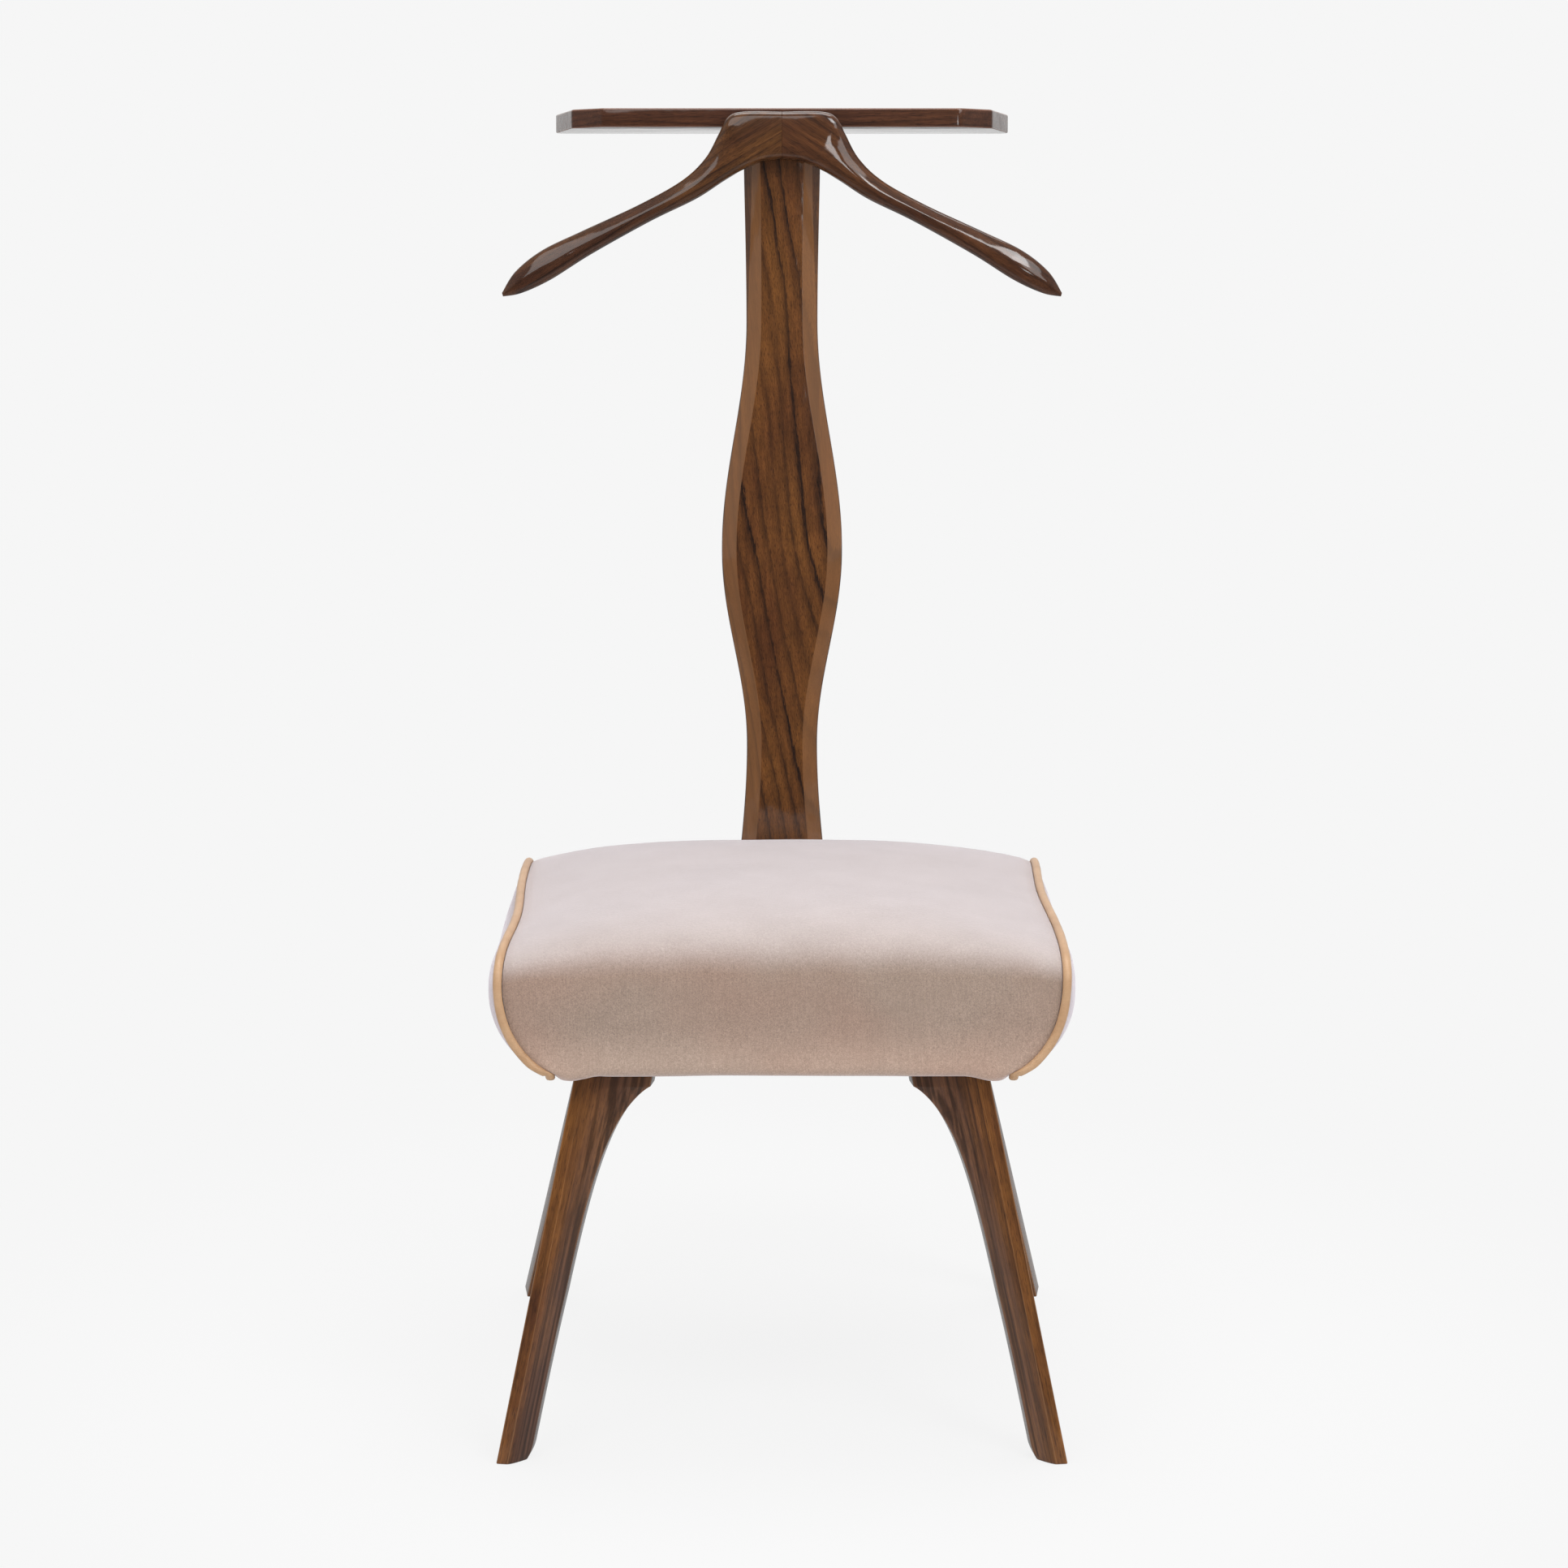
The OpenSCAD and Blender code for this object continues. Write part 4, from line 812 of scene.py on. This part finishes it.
last = len(HANGER_TOP) - 1
steps = [0.01, *np.linspace(0.06, last - 0.6, 130), *np.linspace(last - 0.55, last, 16)]
right_rings = [hanger_ring(0.0, 0.018)] + [hanger_ring(s) for s in steps]
tip = right_rings[-1]
right_rings = np.array(right_rings + [mix(tip, tip.mean(0), k) for k in (0.35, 0.75)])
for side, sx, material in (("left", -1, WOOD_ARM_L), ("right", 1, WOOD_ARM_R)):
    half = loft("hanger_half_%s_fine" % side, handed(right_rings, sx), on_post, 50)
    dowel_y, dowel_z = -YOKE_T / 2, YOKE_TOP - 11
    cut(half, [bore(on_post, (-30 * sx, dowel_y, dowel_z), (23.8 * sx, dowel_y, dowel_z), DOWEL_HOLE),
               bore(on_post, (SCREW_SIDE * sx, -14.8, SCREW_RUN), (SCREW_SIDE * sx, 5, SCREW_RUN), SCREW_HOLE)])
    dress(half, material, "walnut", "hanger_half_" + side)


# Legs

KNEE_Z = RAIL_BOTTOM - KNEE_END
LEG_TOP_Y = FRAME_D / 2 - LEG_INSET


def leg_width(z):
    taper = FOOT_TAPER * (1 - np.clip(z / FOOT_TAPER_H, 0, 1) ** 3)
    corner = 2.5 * np.clip(1 - z / 12, 0, 1) ** 2
    return LEG_W - taper - corner + KNEE_REACH * math.exp(-(max(KNEE_Z - z, 0) / KNEE_FALL) ** 0.85)


def leg_section(z, inset):
    w = leg_width(z)
    back = mix(LEG_ROUND, 0.6 * LEG_ROUND, np.clip(z / KNEE_Z, 0, 1))
    face = [(mix(LEG_FLAT, w, s), back * s ** 1.3) for s in (0.18, 0.36, 0.54, 0.72, 0.86)]
    poly = [(0, 0), (LEG_FLAT, 0.0)] + face + [(w, back), (w, LEG_T), (0, LEG_T)]
    sec = rounded(poly, [1.1, 3.0] + [0] * len(face) + [1.6, 1.6, 1.4], ROUND_STEPS)
    middle = np.array([w / 2, LEG_T / 2 + 2])
    return middle + (sec - middle) * (1 - inset / 12)


def leg_place(sec, z, foot_x, foot_y):
    s = z / RAIL_BOTTOM
    x, y = mix(foot_x, LEG_TOP_W / 2, s), mix(foot_y, LEG_TOP_Y, s) - LEG_FLAT * math.sin(LEG_TOE)
    c, t = math.cos(LEG_TOE), math.sin(LEG_TOE)
    return joined(-x + sec[:, 0] * c + sec[:, 1] * t, -y - sec[:, 0] * t + sec[:, 1] * c, np.full(len(sec), z))


levels = [(0.0, 0.8), (0.35, 0.25)] + [(z, 0.0) for z in (
    0.9, *np.linspace(2, 14, 7), *np.linspace(18, 190, 44), *np.linspace(192, KNEE_Z - 1, 70), KNEE_Z - 0.4,
    KNEE_Z, KNEE_Z + 0.6, KNEE_Z + 4, RAIL_BOTTOM - 4, RAIL_BOTTOM - 0.05)]
# Paler arrises, partly wear and partly painted highlight. The five points of the curved face between the second
# corner and the third aren't rounded
arris_wear_and_highlight_marks = corner_marks([1, 0.7] + [None] * 5 + [0.5, 0.4, 0.7])
# Painted shade on the side of each leg that faces inwards
inner_shade_marks = np.repeat([0, 0.1, 0.35, 0.7, 0.9, 1, 1, 1, 1, 0], [PER_CORNER] * 2 + [1] * 5 + [PER_CORNER] * 3)
LEG_FIX_Y = LEG_TOP_Y - 9
SCREW_X = LEG_TOP_W / 2 - LEG_W - KNEE_REACH + 11
SCREW_HEAD_Z, BELOW_KNEE, ABOVE_LEG, DOWEL_END = KNEE_Z + 3, 250, 320, RAIL_BOTTOM - 20.8
# Each hole's distance from the middle, lower and upper end, and radius
LEG_HOLES = ((SCREW_X, BELOW_KNEE, SCREW_HEAD_Z, HEAD_HOLE), (SCREW_X, SCREW_HEAD_Z - 2, ABOVE_LEG, SCREW_HOLE),
             (LEG_TOP_W / 2 - 16, DOWEL_END, ABOVE_LEG, DOWEL_HOLE),
             (LEG_TOP_W / 2 - 40, DOWEL_END, ABOVE_LEG, DOWEL_HOLE))
LEGS = (("front_leg_left", -1, -1), ("front_leg_right", 1, -1),
        ("rear_leg_left", -1, 1), ("rear_leg_right", 1, 1))
for k, (name, sx, sy) in enumerate(LEGS):
    foot, reach = (FRONT_STANCE, FRONT_REACH) if sy < 0 else (REAR_STANCE, REAR_REACH)
    rings = np.array([leg_place(leg_section(z, inset), z, foot / 2, reach) for z, inset in levels])
    # A leg that is mirrored once runs round the other way
    way = slice(None, None, sx * sy)
    rings = rings[:, way] * [-sx, -sy, 1]
    leg = loft(name + "_fine", rings, placed, 32)
    ring_marks(leg, "edge", np.tile(arris_wear_and_highlight_marks[way], len(rings)), 0.6)
    ring_marks(leg, "inner", np.tile(inner_shade_marks[way], len(rings)))
    cutters = [bore(placed, (sx * x, sy * LEG_FIX_Y, low), (sx * x, sy * LEG_FIX_Y, high), radius)
               for x, low, high, radius in LEG_HOLES]
    cut(leg, cutters)
    along = (sx * (LEG_TOP_W / 2 - foot / 2), sy * (FRAME_D / 2 - LEG_INSET - reach), RAIL_BOTTOM)
    stained = wood("walnut_leg_%d" % k, upright(along, (0, sy, 0)), (0.045 + 0.02 * k, 0.02, 0.0), 40 + 9 * k,
                   ring=0.0058, contrast=0.9, wander=0.55, stain=LEG_STAIN, edge=LEG_ARRIS_WEAR_AND_HIGHLIGHT, inner=LEG_INNER_SHADE)
    dress(leg, stained, "walnut", name)


# Seat

END_SAG, SEAM_TUCK, SHOULDER_DROP, SHOULDER_W = 4.0, 5.0, 0.9, 8.0


def seam_x(z):
    return SEAT_W / 2 - SIDE_DRAW * np.clip((SEAT_EDGE_TOP - z) / SEAT_THICK, 0, 1) ** DRAW_POWER


def seam_depth(d):
    """How deep the cover lies at a distance d from the seam: it rolls over round the piping."""
    near = PIPING_D / 2 + SOFT_GAP
    shoulder = SHOULDER_DROP * (1 - smooth((d - near) / SHOULDER_W))
    if d >= near:
        return shoulder
    above = PIPING_D / 2 + 2 * SOFT_GAP
    return max(shoulder, SEAM_DIP - above * (1 - math.sqrt(1 - (d / near) ** 2)))


def settle(points):
    """Draws the top of both side seams in a little where the crown pulls on them, and tucks
    their ends up under the seat."""
    p = np.array(points, float)
    x, y, z = p[..., 0], p[..., 1], p[..., 2]
    along = np.exp(-((y - np.where(x < 0, -60, 30)) / 100) ** 2) * smooth((z - SEAT_MID - 12) / 30)
    pull = np.where(x < 0, 6.0, 4.5) * smooth((abs(x) / (SEAT_W / 2) - 0.6) / 0.4)
    low = smooth((SEAT_BOTTOM + 12 - z) / 14) * np.exp(-((abs(x) - seam_x(z)) / 7) ** 2)
    p[..., 0] -= np.sign(x) * pull * along
    p[..., 2] += SEAM_TUCK * low
    return p


def in_seat(points):
    return placed(settle(points))


def seat_outline(u, t, hem_n=26, top_n=150):
    """The seat's outline at a share u of its half width, drawn in by t, as points in Y and Z."""
    a = abs(u)
    dip = seam_depth((1 - a) * SEAT_W / 2)
    half_d, r = SEAT_D / 2 - t - dip, HEM_R - t
    low = SEAT_BOTTOM + t + dip / 2 - END_SAG * smooth((a - 0.78) / 0.14)
    rise = SEAT_EDGE_TOP - SEAT_MID + SEAT_CROWN * (1 - a ** CROWN_FULLNESS) - t - dip
    e = mix(SQUARE_MID, SQUARE_END, a * a)
    arc = np.linspace(0, np.pi / 2, 14)
    hem = joined(-half_d + r - r * np.sin(arc), low + r - r * np.cos(arc))
    hem = resampled(np.vstack([[(-HEM_REACH, low)], hem, [(-half_d, SEAT_MID)]]), hem_n)
    # A superellipse, with its points closest where it bends most
    f = np.linspace(0, np.pi / 2, 160)
    y = np.unique(np.r_[np.linspace(0, 1, 120), np.cos(f) ** (2 / e)])[::-1]
    y = np.r_[-y, y[::-1][1:]]
    z = SEAT_MID + (rise + SEAT_RAKE * y * half_d / SEAT_D) * np.clip(1 - np.abs(y) ** e, 0, 1) ** (1 / e)
    top = resampled(joined(y * half_d, z), top_n)
    return np.vstack([hem, top[1:-1], hem[::-1] * [-1, 1]])


def closed_outline(u, t):
    o = seat_outline(u, t)
    under = np.linspace(1, -1, 22)[1:-1]
    return np.vstack([o, [(HEM_REACH * k, o[0, 1]) for k in under]])


def seat_row(u, t):
    o = seat_outline(u, t)
    return joined(u * (seam_x(o[:, 1]) - SOFT_GAP / 2), o[:, 0], o[:, 1])


def normals(grid):
    """Unit normals of a grid of points, pointing out of the seat."""
    n = np.cross(np.gradient(grid, axis=0), np.gradient(grid, axis=1))
    return n / np.maximum(np.linalg.norm(n, axis=-1, keepdims=True), 1e-9)


def fold(points, place, direction, width, length, depth):
    """A soft crease in the cloth, along a direction in X and Z, on the front or the rear."""
    d = np.array(direction, float) / np.linalg.norm(direction)
    p = points[..., [0, 2]] - place
    along, across = p @ d, p @ np.array([-d[1], d[0]])
    return -depth * np.exp(-(across / width) ** 2) * np.exp(-(along / length) ** 2)


def cloth_shell(name, outer, inner, seam, place):
    """A thin solid between two grids of points."""
    m, n = outer.shape[:2]
    k = m * n
    faces = []
    for i in range(m - 1):
        for j in range(n - 1):
            a = i * n + j
            b, c, d = a + n, a + n + 1, a + 1
            faces += [(a, b, c, d), (k + a, k + d, k + c, k + b)]
    for a in range(n - 1):
        b = (m - 1) * n + a
        faces += [(a, a + 1, k + a + 1, k + a), (b, k + b, k + b + 1, b + 1)]
    for a in range(0, (m - 1) * n, n):
        c = a + n - 1
        faces += [(a, k + a, k + a + n, a + n), (c, c + n, k + c + n, k + c)]
    obj = add_mesh(name, place(np.vstack([outer.reshape(-1, 3), inner.reshape(-1, 3)])), faces, 50)
    # Stores the seam marks, for the painted shade along the seams
    attribute(obj, "seam", np.tile(seam.ravel(), 2))
    return obj


# Distances from the seam in millimetres, closest where the cover rolls over
SEAM_STEPS = [24, 20, 17, 14, 11.5, 9.4, 7.8, 6.5, 5.5, 4.7, 4.1, 3.8, 3.65, 3.4, 3.0, 2.4, 1.7, 0.9, 0]
half = np.r_[np.linspace(0, 0.875, 30), 1 - np.array(SEAM_STEPS) / (SEAT_W / 2)]
shares = np.r_[-half[:0:-1], half]
outer = np.array([seat_row(u, 0.0) for u in shares])
inner = np.array([seat_row(u, VELVET_T) for u in shares])
away = (1 - np.abs(shares))[:, None] * SEAT_W / 2
# The padding's soft unevenness, its puckers along the seams and slack folds at the lower corners
lump = 0.55 * waves(outer, 11, 150) * smooth(away / 26)
run = distances(outer[-1])
ripple = np.sin(run * 2 * np.pi / 8.7 + 1.3 * np.sin(run / 21)) * 0.5 - 0.5
pucker = 0.32 * np.exp(-away / 7.0) * ripple[None, :]
folds = np.zeros(outer.shape[:2])
# Each fold's side, middle in X and Z, slope, width, length and depth
FOLDS = (
    (-1, -152, 318, 0.5, 4.5, 14, 1.0), (-1, -163, 322, 0.25, 4, 16, 0.8), (-1, -141, 313, 0.8, 5, 10, 0.7),
    (-1, 158, 316, -0.6, 4.5, 12, 0.7), (-1, 147, 313, -0.8, 5, 9, 0.5),
    (1, -155, 318, 0.5, 5, 13, 0.8), (1, 157, 319, -0.5, 4.5, 14, 0.8))
for face, x, z, dx, width, length, depth in FOLDS:
    part = (outer[..., 1] * face > 0) & (outer[..., 2] < SEAT_MID + 15)
    folds += fold(outer, (x, z), (dx, 1), width, length, depth) * part
move = (lump + pucker + folds)[..., None] * normals(outer)
outer, inner = outer + move, inner + move
# How near each point of the cover lies to a seam, for the painted shade there
near_seam_shade = np.exp(-(away / 4.6) ** 2.2) * np.ones(outer.shape[:2])
cover = cloth_shell("velvet_cover", outer, inner, near_seam_shade, in_seat)
dress(cover, VELVET, "velvet", "velvet_panel")

END_SHARES = np.r_[np.linspace(0, 0.16, 12), np.linspace(0.2, 0.95, 14)]
LOW_FULLNESS, LOW_SWELL, HIGH_SWELL = 1.6, 1.1, 0.35


def end_height(z, share):
    low = np.clip((SEAT_MID - z) / (SEAT_THICK / 2), 0, 1)
    s = min(share / 0.36, 1)
    below = mix(z, SEAT_MID, share ** LOW_FULLNESS) - 4 * SIDE_SAG * s * (1 - s) * low ** 4
    return np.where(z > SEAT_MID, mix(z, SEAT_MID, share), below)


def end_ring(share, t, rim_inset, inset):
    """A ring of a side panel, at a share of the way from its seam to its middle."""
    o = closed_outline(1, t)
    y, z = o[:, 0] * (1 - share), end_height(o[:, 1], share)
    rise = np.clip((z - SEAT_BOTTOM) / SEAT_THICK, 0, 1)
    swell = SIDE_SWELL * (1 - (1 - share) ** 6) * mix(LOW_SWELL, HIGH_SWELL, rise)
    x = seam_x(z) + swell - mix(rim_inset, inset, smooth(share / 0.16))
    return joined(x, y, z)


rim = SOFT_GAP / 2
out_rings = np.array([end_ring(s, 0, -rim, -rim) for s in END_SHARES])
in_rings = np.array([end_ring(s, VELVET_T, -rim, VELVET_T - rim) for s in END_SHARES])
uneven = 0.5 * waves(out_rings, 23, 90) * smooth(END_SHARES / 0.3)[:, None]
out_rings[..., 0] += uneven
in_rings[..., 0] += uneven
side_rings = np.vstack([in_rings[::-1], out_rings])
# How near each point of the side panels lies to its seam, for the painted shade there
near_seam_shade = np.r_[np.zeros(len(END_SHARES)), np.exp(-(END_SHARES * 60 / 3.2) ** 1.5)]
for side, sx in SIDES:
    panel = loft("velvet_side_" + side, handed(side_rings, sx)[:, ::-1], in_seat, 50)
    ring_marks(panel, "seam", np.repeat(near_seam_shade, side_rings.shape[1]))
    dress(panel, VELVET_SIDE_SHEEN, "velvet", "side_panel_" + side)

# The piping is a tube along the seam, slightly uneven in girth, with its ends turned in
radius = PIPING_D / 2
o = seat_outline(1, -radius - 2 * SOFT_GAP, 40, 170)[2:-2]
path = joined(seam_x(o[:, 1]), o[:, 0], o[:, 1])
step = np.gradient(path, axis=0)
step /= np.linalg.norm(step, axis=1)[:, None]
side_dir = np.cross(step, [1, 0, 0])
side_dir /= np.linalg.norm(side_dir, axis=1)[:, None]
up_dir = np.cross(side_dir, step)
turn = np.linspace(0, 2 * np.pi, 20, endpoint=False)
run = distances(path)
girth = radius * (1 + 0.018 * np.sin(run / 9.0) + 0.012 * np.sin(run / 4.1 + 1))
tube = path[:, None] + girth[:, None, None] * (np.cos(turn)[None, :, None] * side_dir[:, None]
                                               + np.sin(turn)[None, :, None] * up_dir[:, None])
first, final = [mix(tube[k], tube[k].mean(0), 0.4) + way * step[k] * 0.9 for k, way in ((0, -1), (-1, 1))]
tube = np.vstack([[first], tube, [final]])
for side, sx in SIDES:
    welt = loft("piping_%s_leather" % side, handed(tube, sx)[:, ::-1], in_seat, 60)
    dress(welt, PIPING, "piping_leather", "piping_" + side)


# Inside the seat

HESSIAN_Z = RAIL_TOP + 2 * STRAP_T + 2 * SOFT_GAP
FOAM_BOTTOM = HESSIAN_Z + 1 + SOFT_GAP
PAD_SHARES = [-1, -0.98, -0.95, -0.9, *np.linspace(-0.8, 0.8, 17), 0.9, 0.95, 0.98, 1]
# Far outside the seat, for blocks that cut all of one side away
FAR, HIGH = 400, 900


def padding(name):
    """The form that fills the whole cover, with a third of its points."""
    t = VELVET_T + 2 * SOFT_GAP
    thin = slice(None, None, 3)
    ends = [end_ring(s, t, rim, t + rim)[thin] for s in END_SHARES[::-1]]
    across = []
    for u in PAD_SHARES:
        o = closed_outline(u, t)[thin]
        across.append(joined(u * (seam_x(o[:, 1]) - t), o[:, 0], o[:, 1]))
    rings = np.array([e * [-1, 1, 1] for e in ends] + across + ends[::-1])
    return loft(name, rings[:, ::-1], in_seat, 40)


cushion = padding("seat_foam_pad")
cut(cushion, [block((-FAR, -FAR, 0), (FAR, FAR, FOAM_BOTTOM))])
dress(cushion, FOAM, "foam", "seat_foam")
border = padding("edge_foam")
pocket_x, pocket_y = FRAME_W / 2 + SOFT_GAP, FRAME_D / 2 + SOFT_GAP
cut(border, [block((-FAR, -FAR, FOAM_BOTTOM - SOFT_GAP), (FAR, FAR, HIGH)),
             block((-pocket_x, -pocket_y, 0), (pocket_x, pocket_y, HIGH))])
dress(border, FOAM, "foam", "edge_padding")


def strap(name, centre, along_x, z):
    """A webbing strap with rounded selvedges and a faint ripple along its length."""
    long, half = FRAME_W if along_x else FRAME_D, STRAP_W / 2
    corners = rounded([(-half, 0), (half, 0), (half, STRAP_T), (-half, STRAP_T)], 0.75)
    sec = []
    for a, b in zip(corners, np.roll(corners, -1, 0)):
        pieces = 4 if abs(a[0] - b[0]) > 5 else 1
        sec += [mix(a, b, k / 4) for k in range(pieces)]
    rings = []
    for v in np.linspace(-long / 2, long / 2, 60):
        lift = 0.12 * math.sin(v / 5.0)
        ring = []
        for q in sec:
            h = z + q[1] + lift * (1 - abs(q[1] / STRAP_T * 2 - 1)) * 0.4
            ring.append((v, centre + q[0], h) if along_x else (centre - q[0], v, h))
        rings.append(ring)
    return loft(name, rings, placed, 50)


for k in (-1, 0, 1):
    pitch = (FRAME_W - 2 * SIDE_RAIL_T) * STRAP_SHARE
    band = strap("webbing_long_%d" % (k + 2), k * pitch, False, RAIL_TOP)
    dress(band, WEB_LONG, "webbing", "webbing_lengthways")
    pitch = (FRAME_D - 2 * CROSS_RAIL_T) * STRAP_SHARE
    band = strap("webbing_cross_%d" % (k + 2), k * pitch, True, RAIL_TOP + STRAP_T + SOFT_GAP)
    dress(band, WEB_CROSS, "webbing", "webbing_crossways")


def flat_cloth(name, half_x, half_y, low, high, height, place):
    """A flat cloth of a given thickness with a soft unevenness of its own."""
    X, Y = np.meshgrid(np.linspace(-half_x, half_x, 61), np.linspace(-half_y, half_y, 61), indexing="ij")
    lift = height(X, Y)
    return cloth_shell(name, joined(X, Y, low + lift), joined(X, Y, high + lift), np.zeros(X.shape), place)


def hessian_height(X, Y):
    return 0.12 * waves(joined(X, Y, 0 * X), 31, 40)


hessian = flat_cloth("hessian_cloth", FRAME_W / 2, FRAME_D / 2, HESSIAN_Z, HESSIAN_Z + 1, hessian_height,
                     placed)
dress(hessian, HESSIAN, "hessian", "hessian_panel")

FELT_T = 0.8
FELT_Z = SEAT_BOTTOM + VELVET_T - FELT_T
felt_x, felt_y = float(seam_x(FELT_Z)) - 2 * SOFT_GAP, HEM_REACH - 1


def felt_height(X, Y):
    """Hangs a little between the rails, with a faint unevenness away from them."""
    gx, gy = (FRAME_W / 2 - SIDE_RAIL_T - 4) - abs(X), (FRAME_D / 2 - CROSS_RAIL_T - 4) - abs(Y)
    free = smooth(gx / 70) * smooth(gy / 70)
    return -1.6 * free + 0.1 * waves(joined(X, Y, 0 * X), 37, 55) * smooth(np.minimum(gx, gy) / 20) - 0.02


under = flat_cloth("dust_cloth_felt", felt_x, felt_y, FELT_Z, FELT_Z + FELT_T, felt_height, in_seat)
# Its four corners are cut away round the legs, by blocks from below the cloth to above it
CUT_LOW, CUT_HIGH = 300, 315
cut_w, cut_d = LEG_W + KNEE_REACH + 10, LEG_INSET + LEG_T + 5
cut_x, cut_y = LEG_TOP_W / 2 + 5 - cut_w / 2, FRAME_D / 2 - cut_d / 2
cut(under, [block((sx * cut_x - cut_w / 2, sy * cut_y - cut_d / 2 - 1, CUT_LOW),
                  (sx * cut_x + cut_w / 2, sy * cut_y + cut_d / 2 + 1, CUT_HIGH))
            for sx in (-1, 1) for sy in (-1, 1)])
dress(under, FELT, "dust_cloth", "dust_cover")


# Solids that stay as built

paint(BEECH, "rail_front", "rail_rear", "hanger_dowels")
paint(BEECH_DEEP, "rail_left", "rail_right", "rail_dowels", "corner_block_front_left",
      "corner_block_front_right", "corner_block_rear_left", "corner_block_rear_right")
paint(BEECH_UP, "shelf_dowels", "leg_dowels")
paint(STEEL, "hanger_screws", "leg_screws", "post_bolts", "post_washers", "post_nuts")
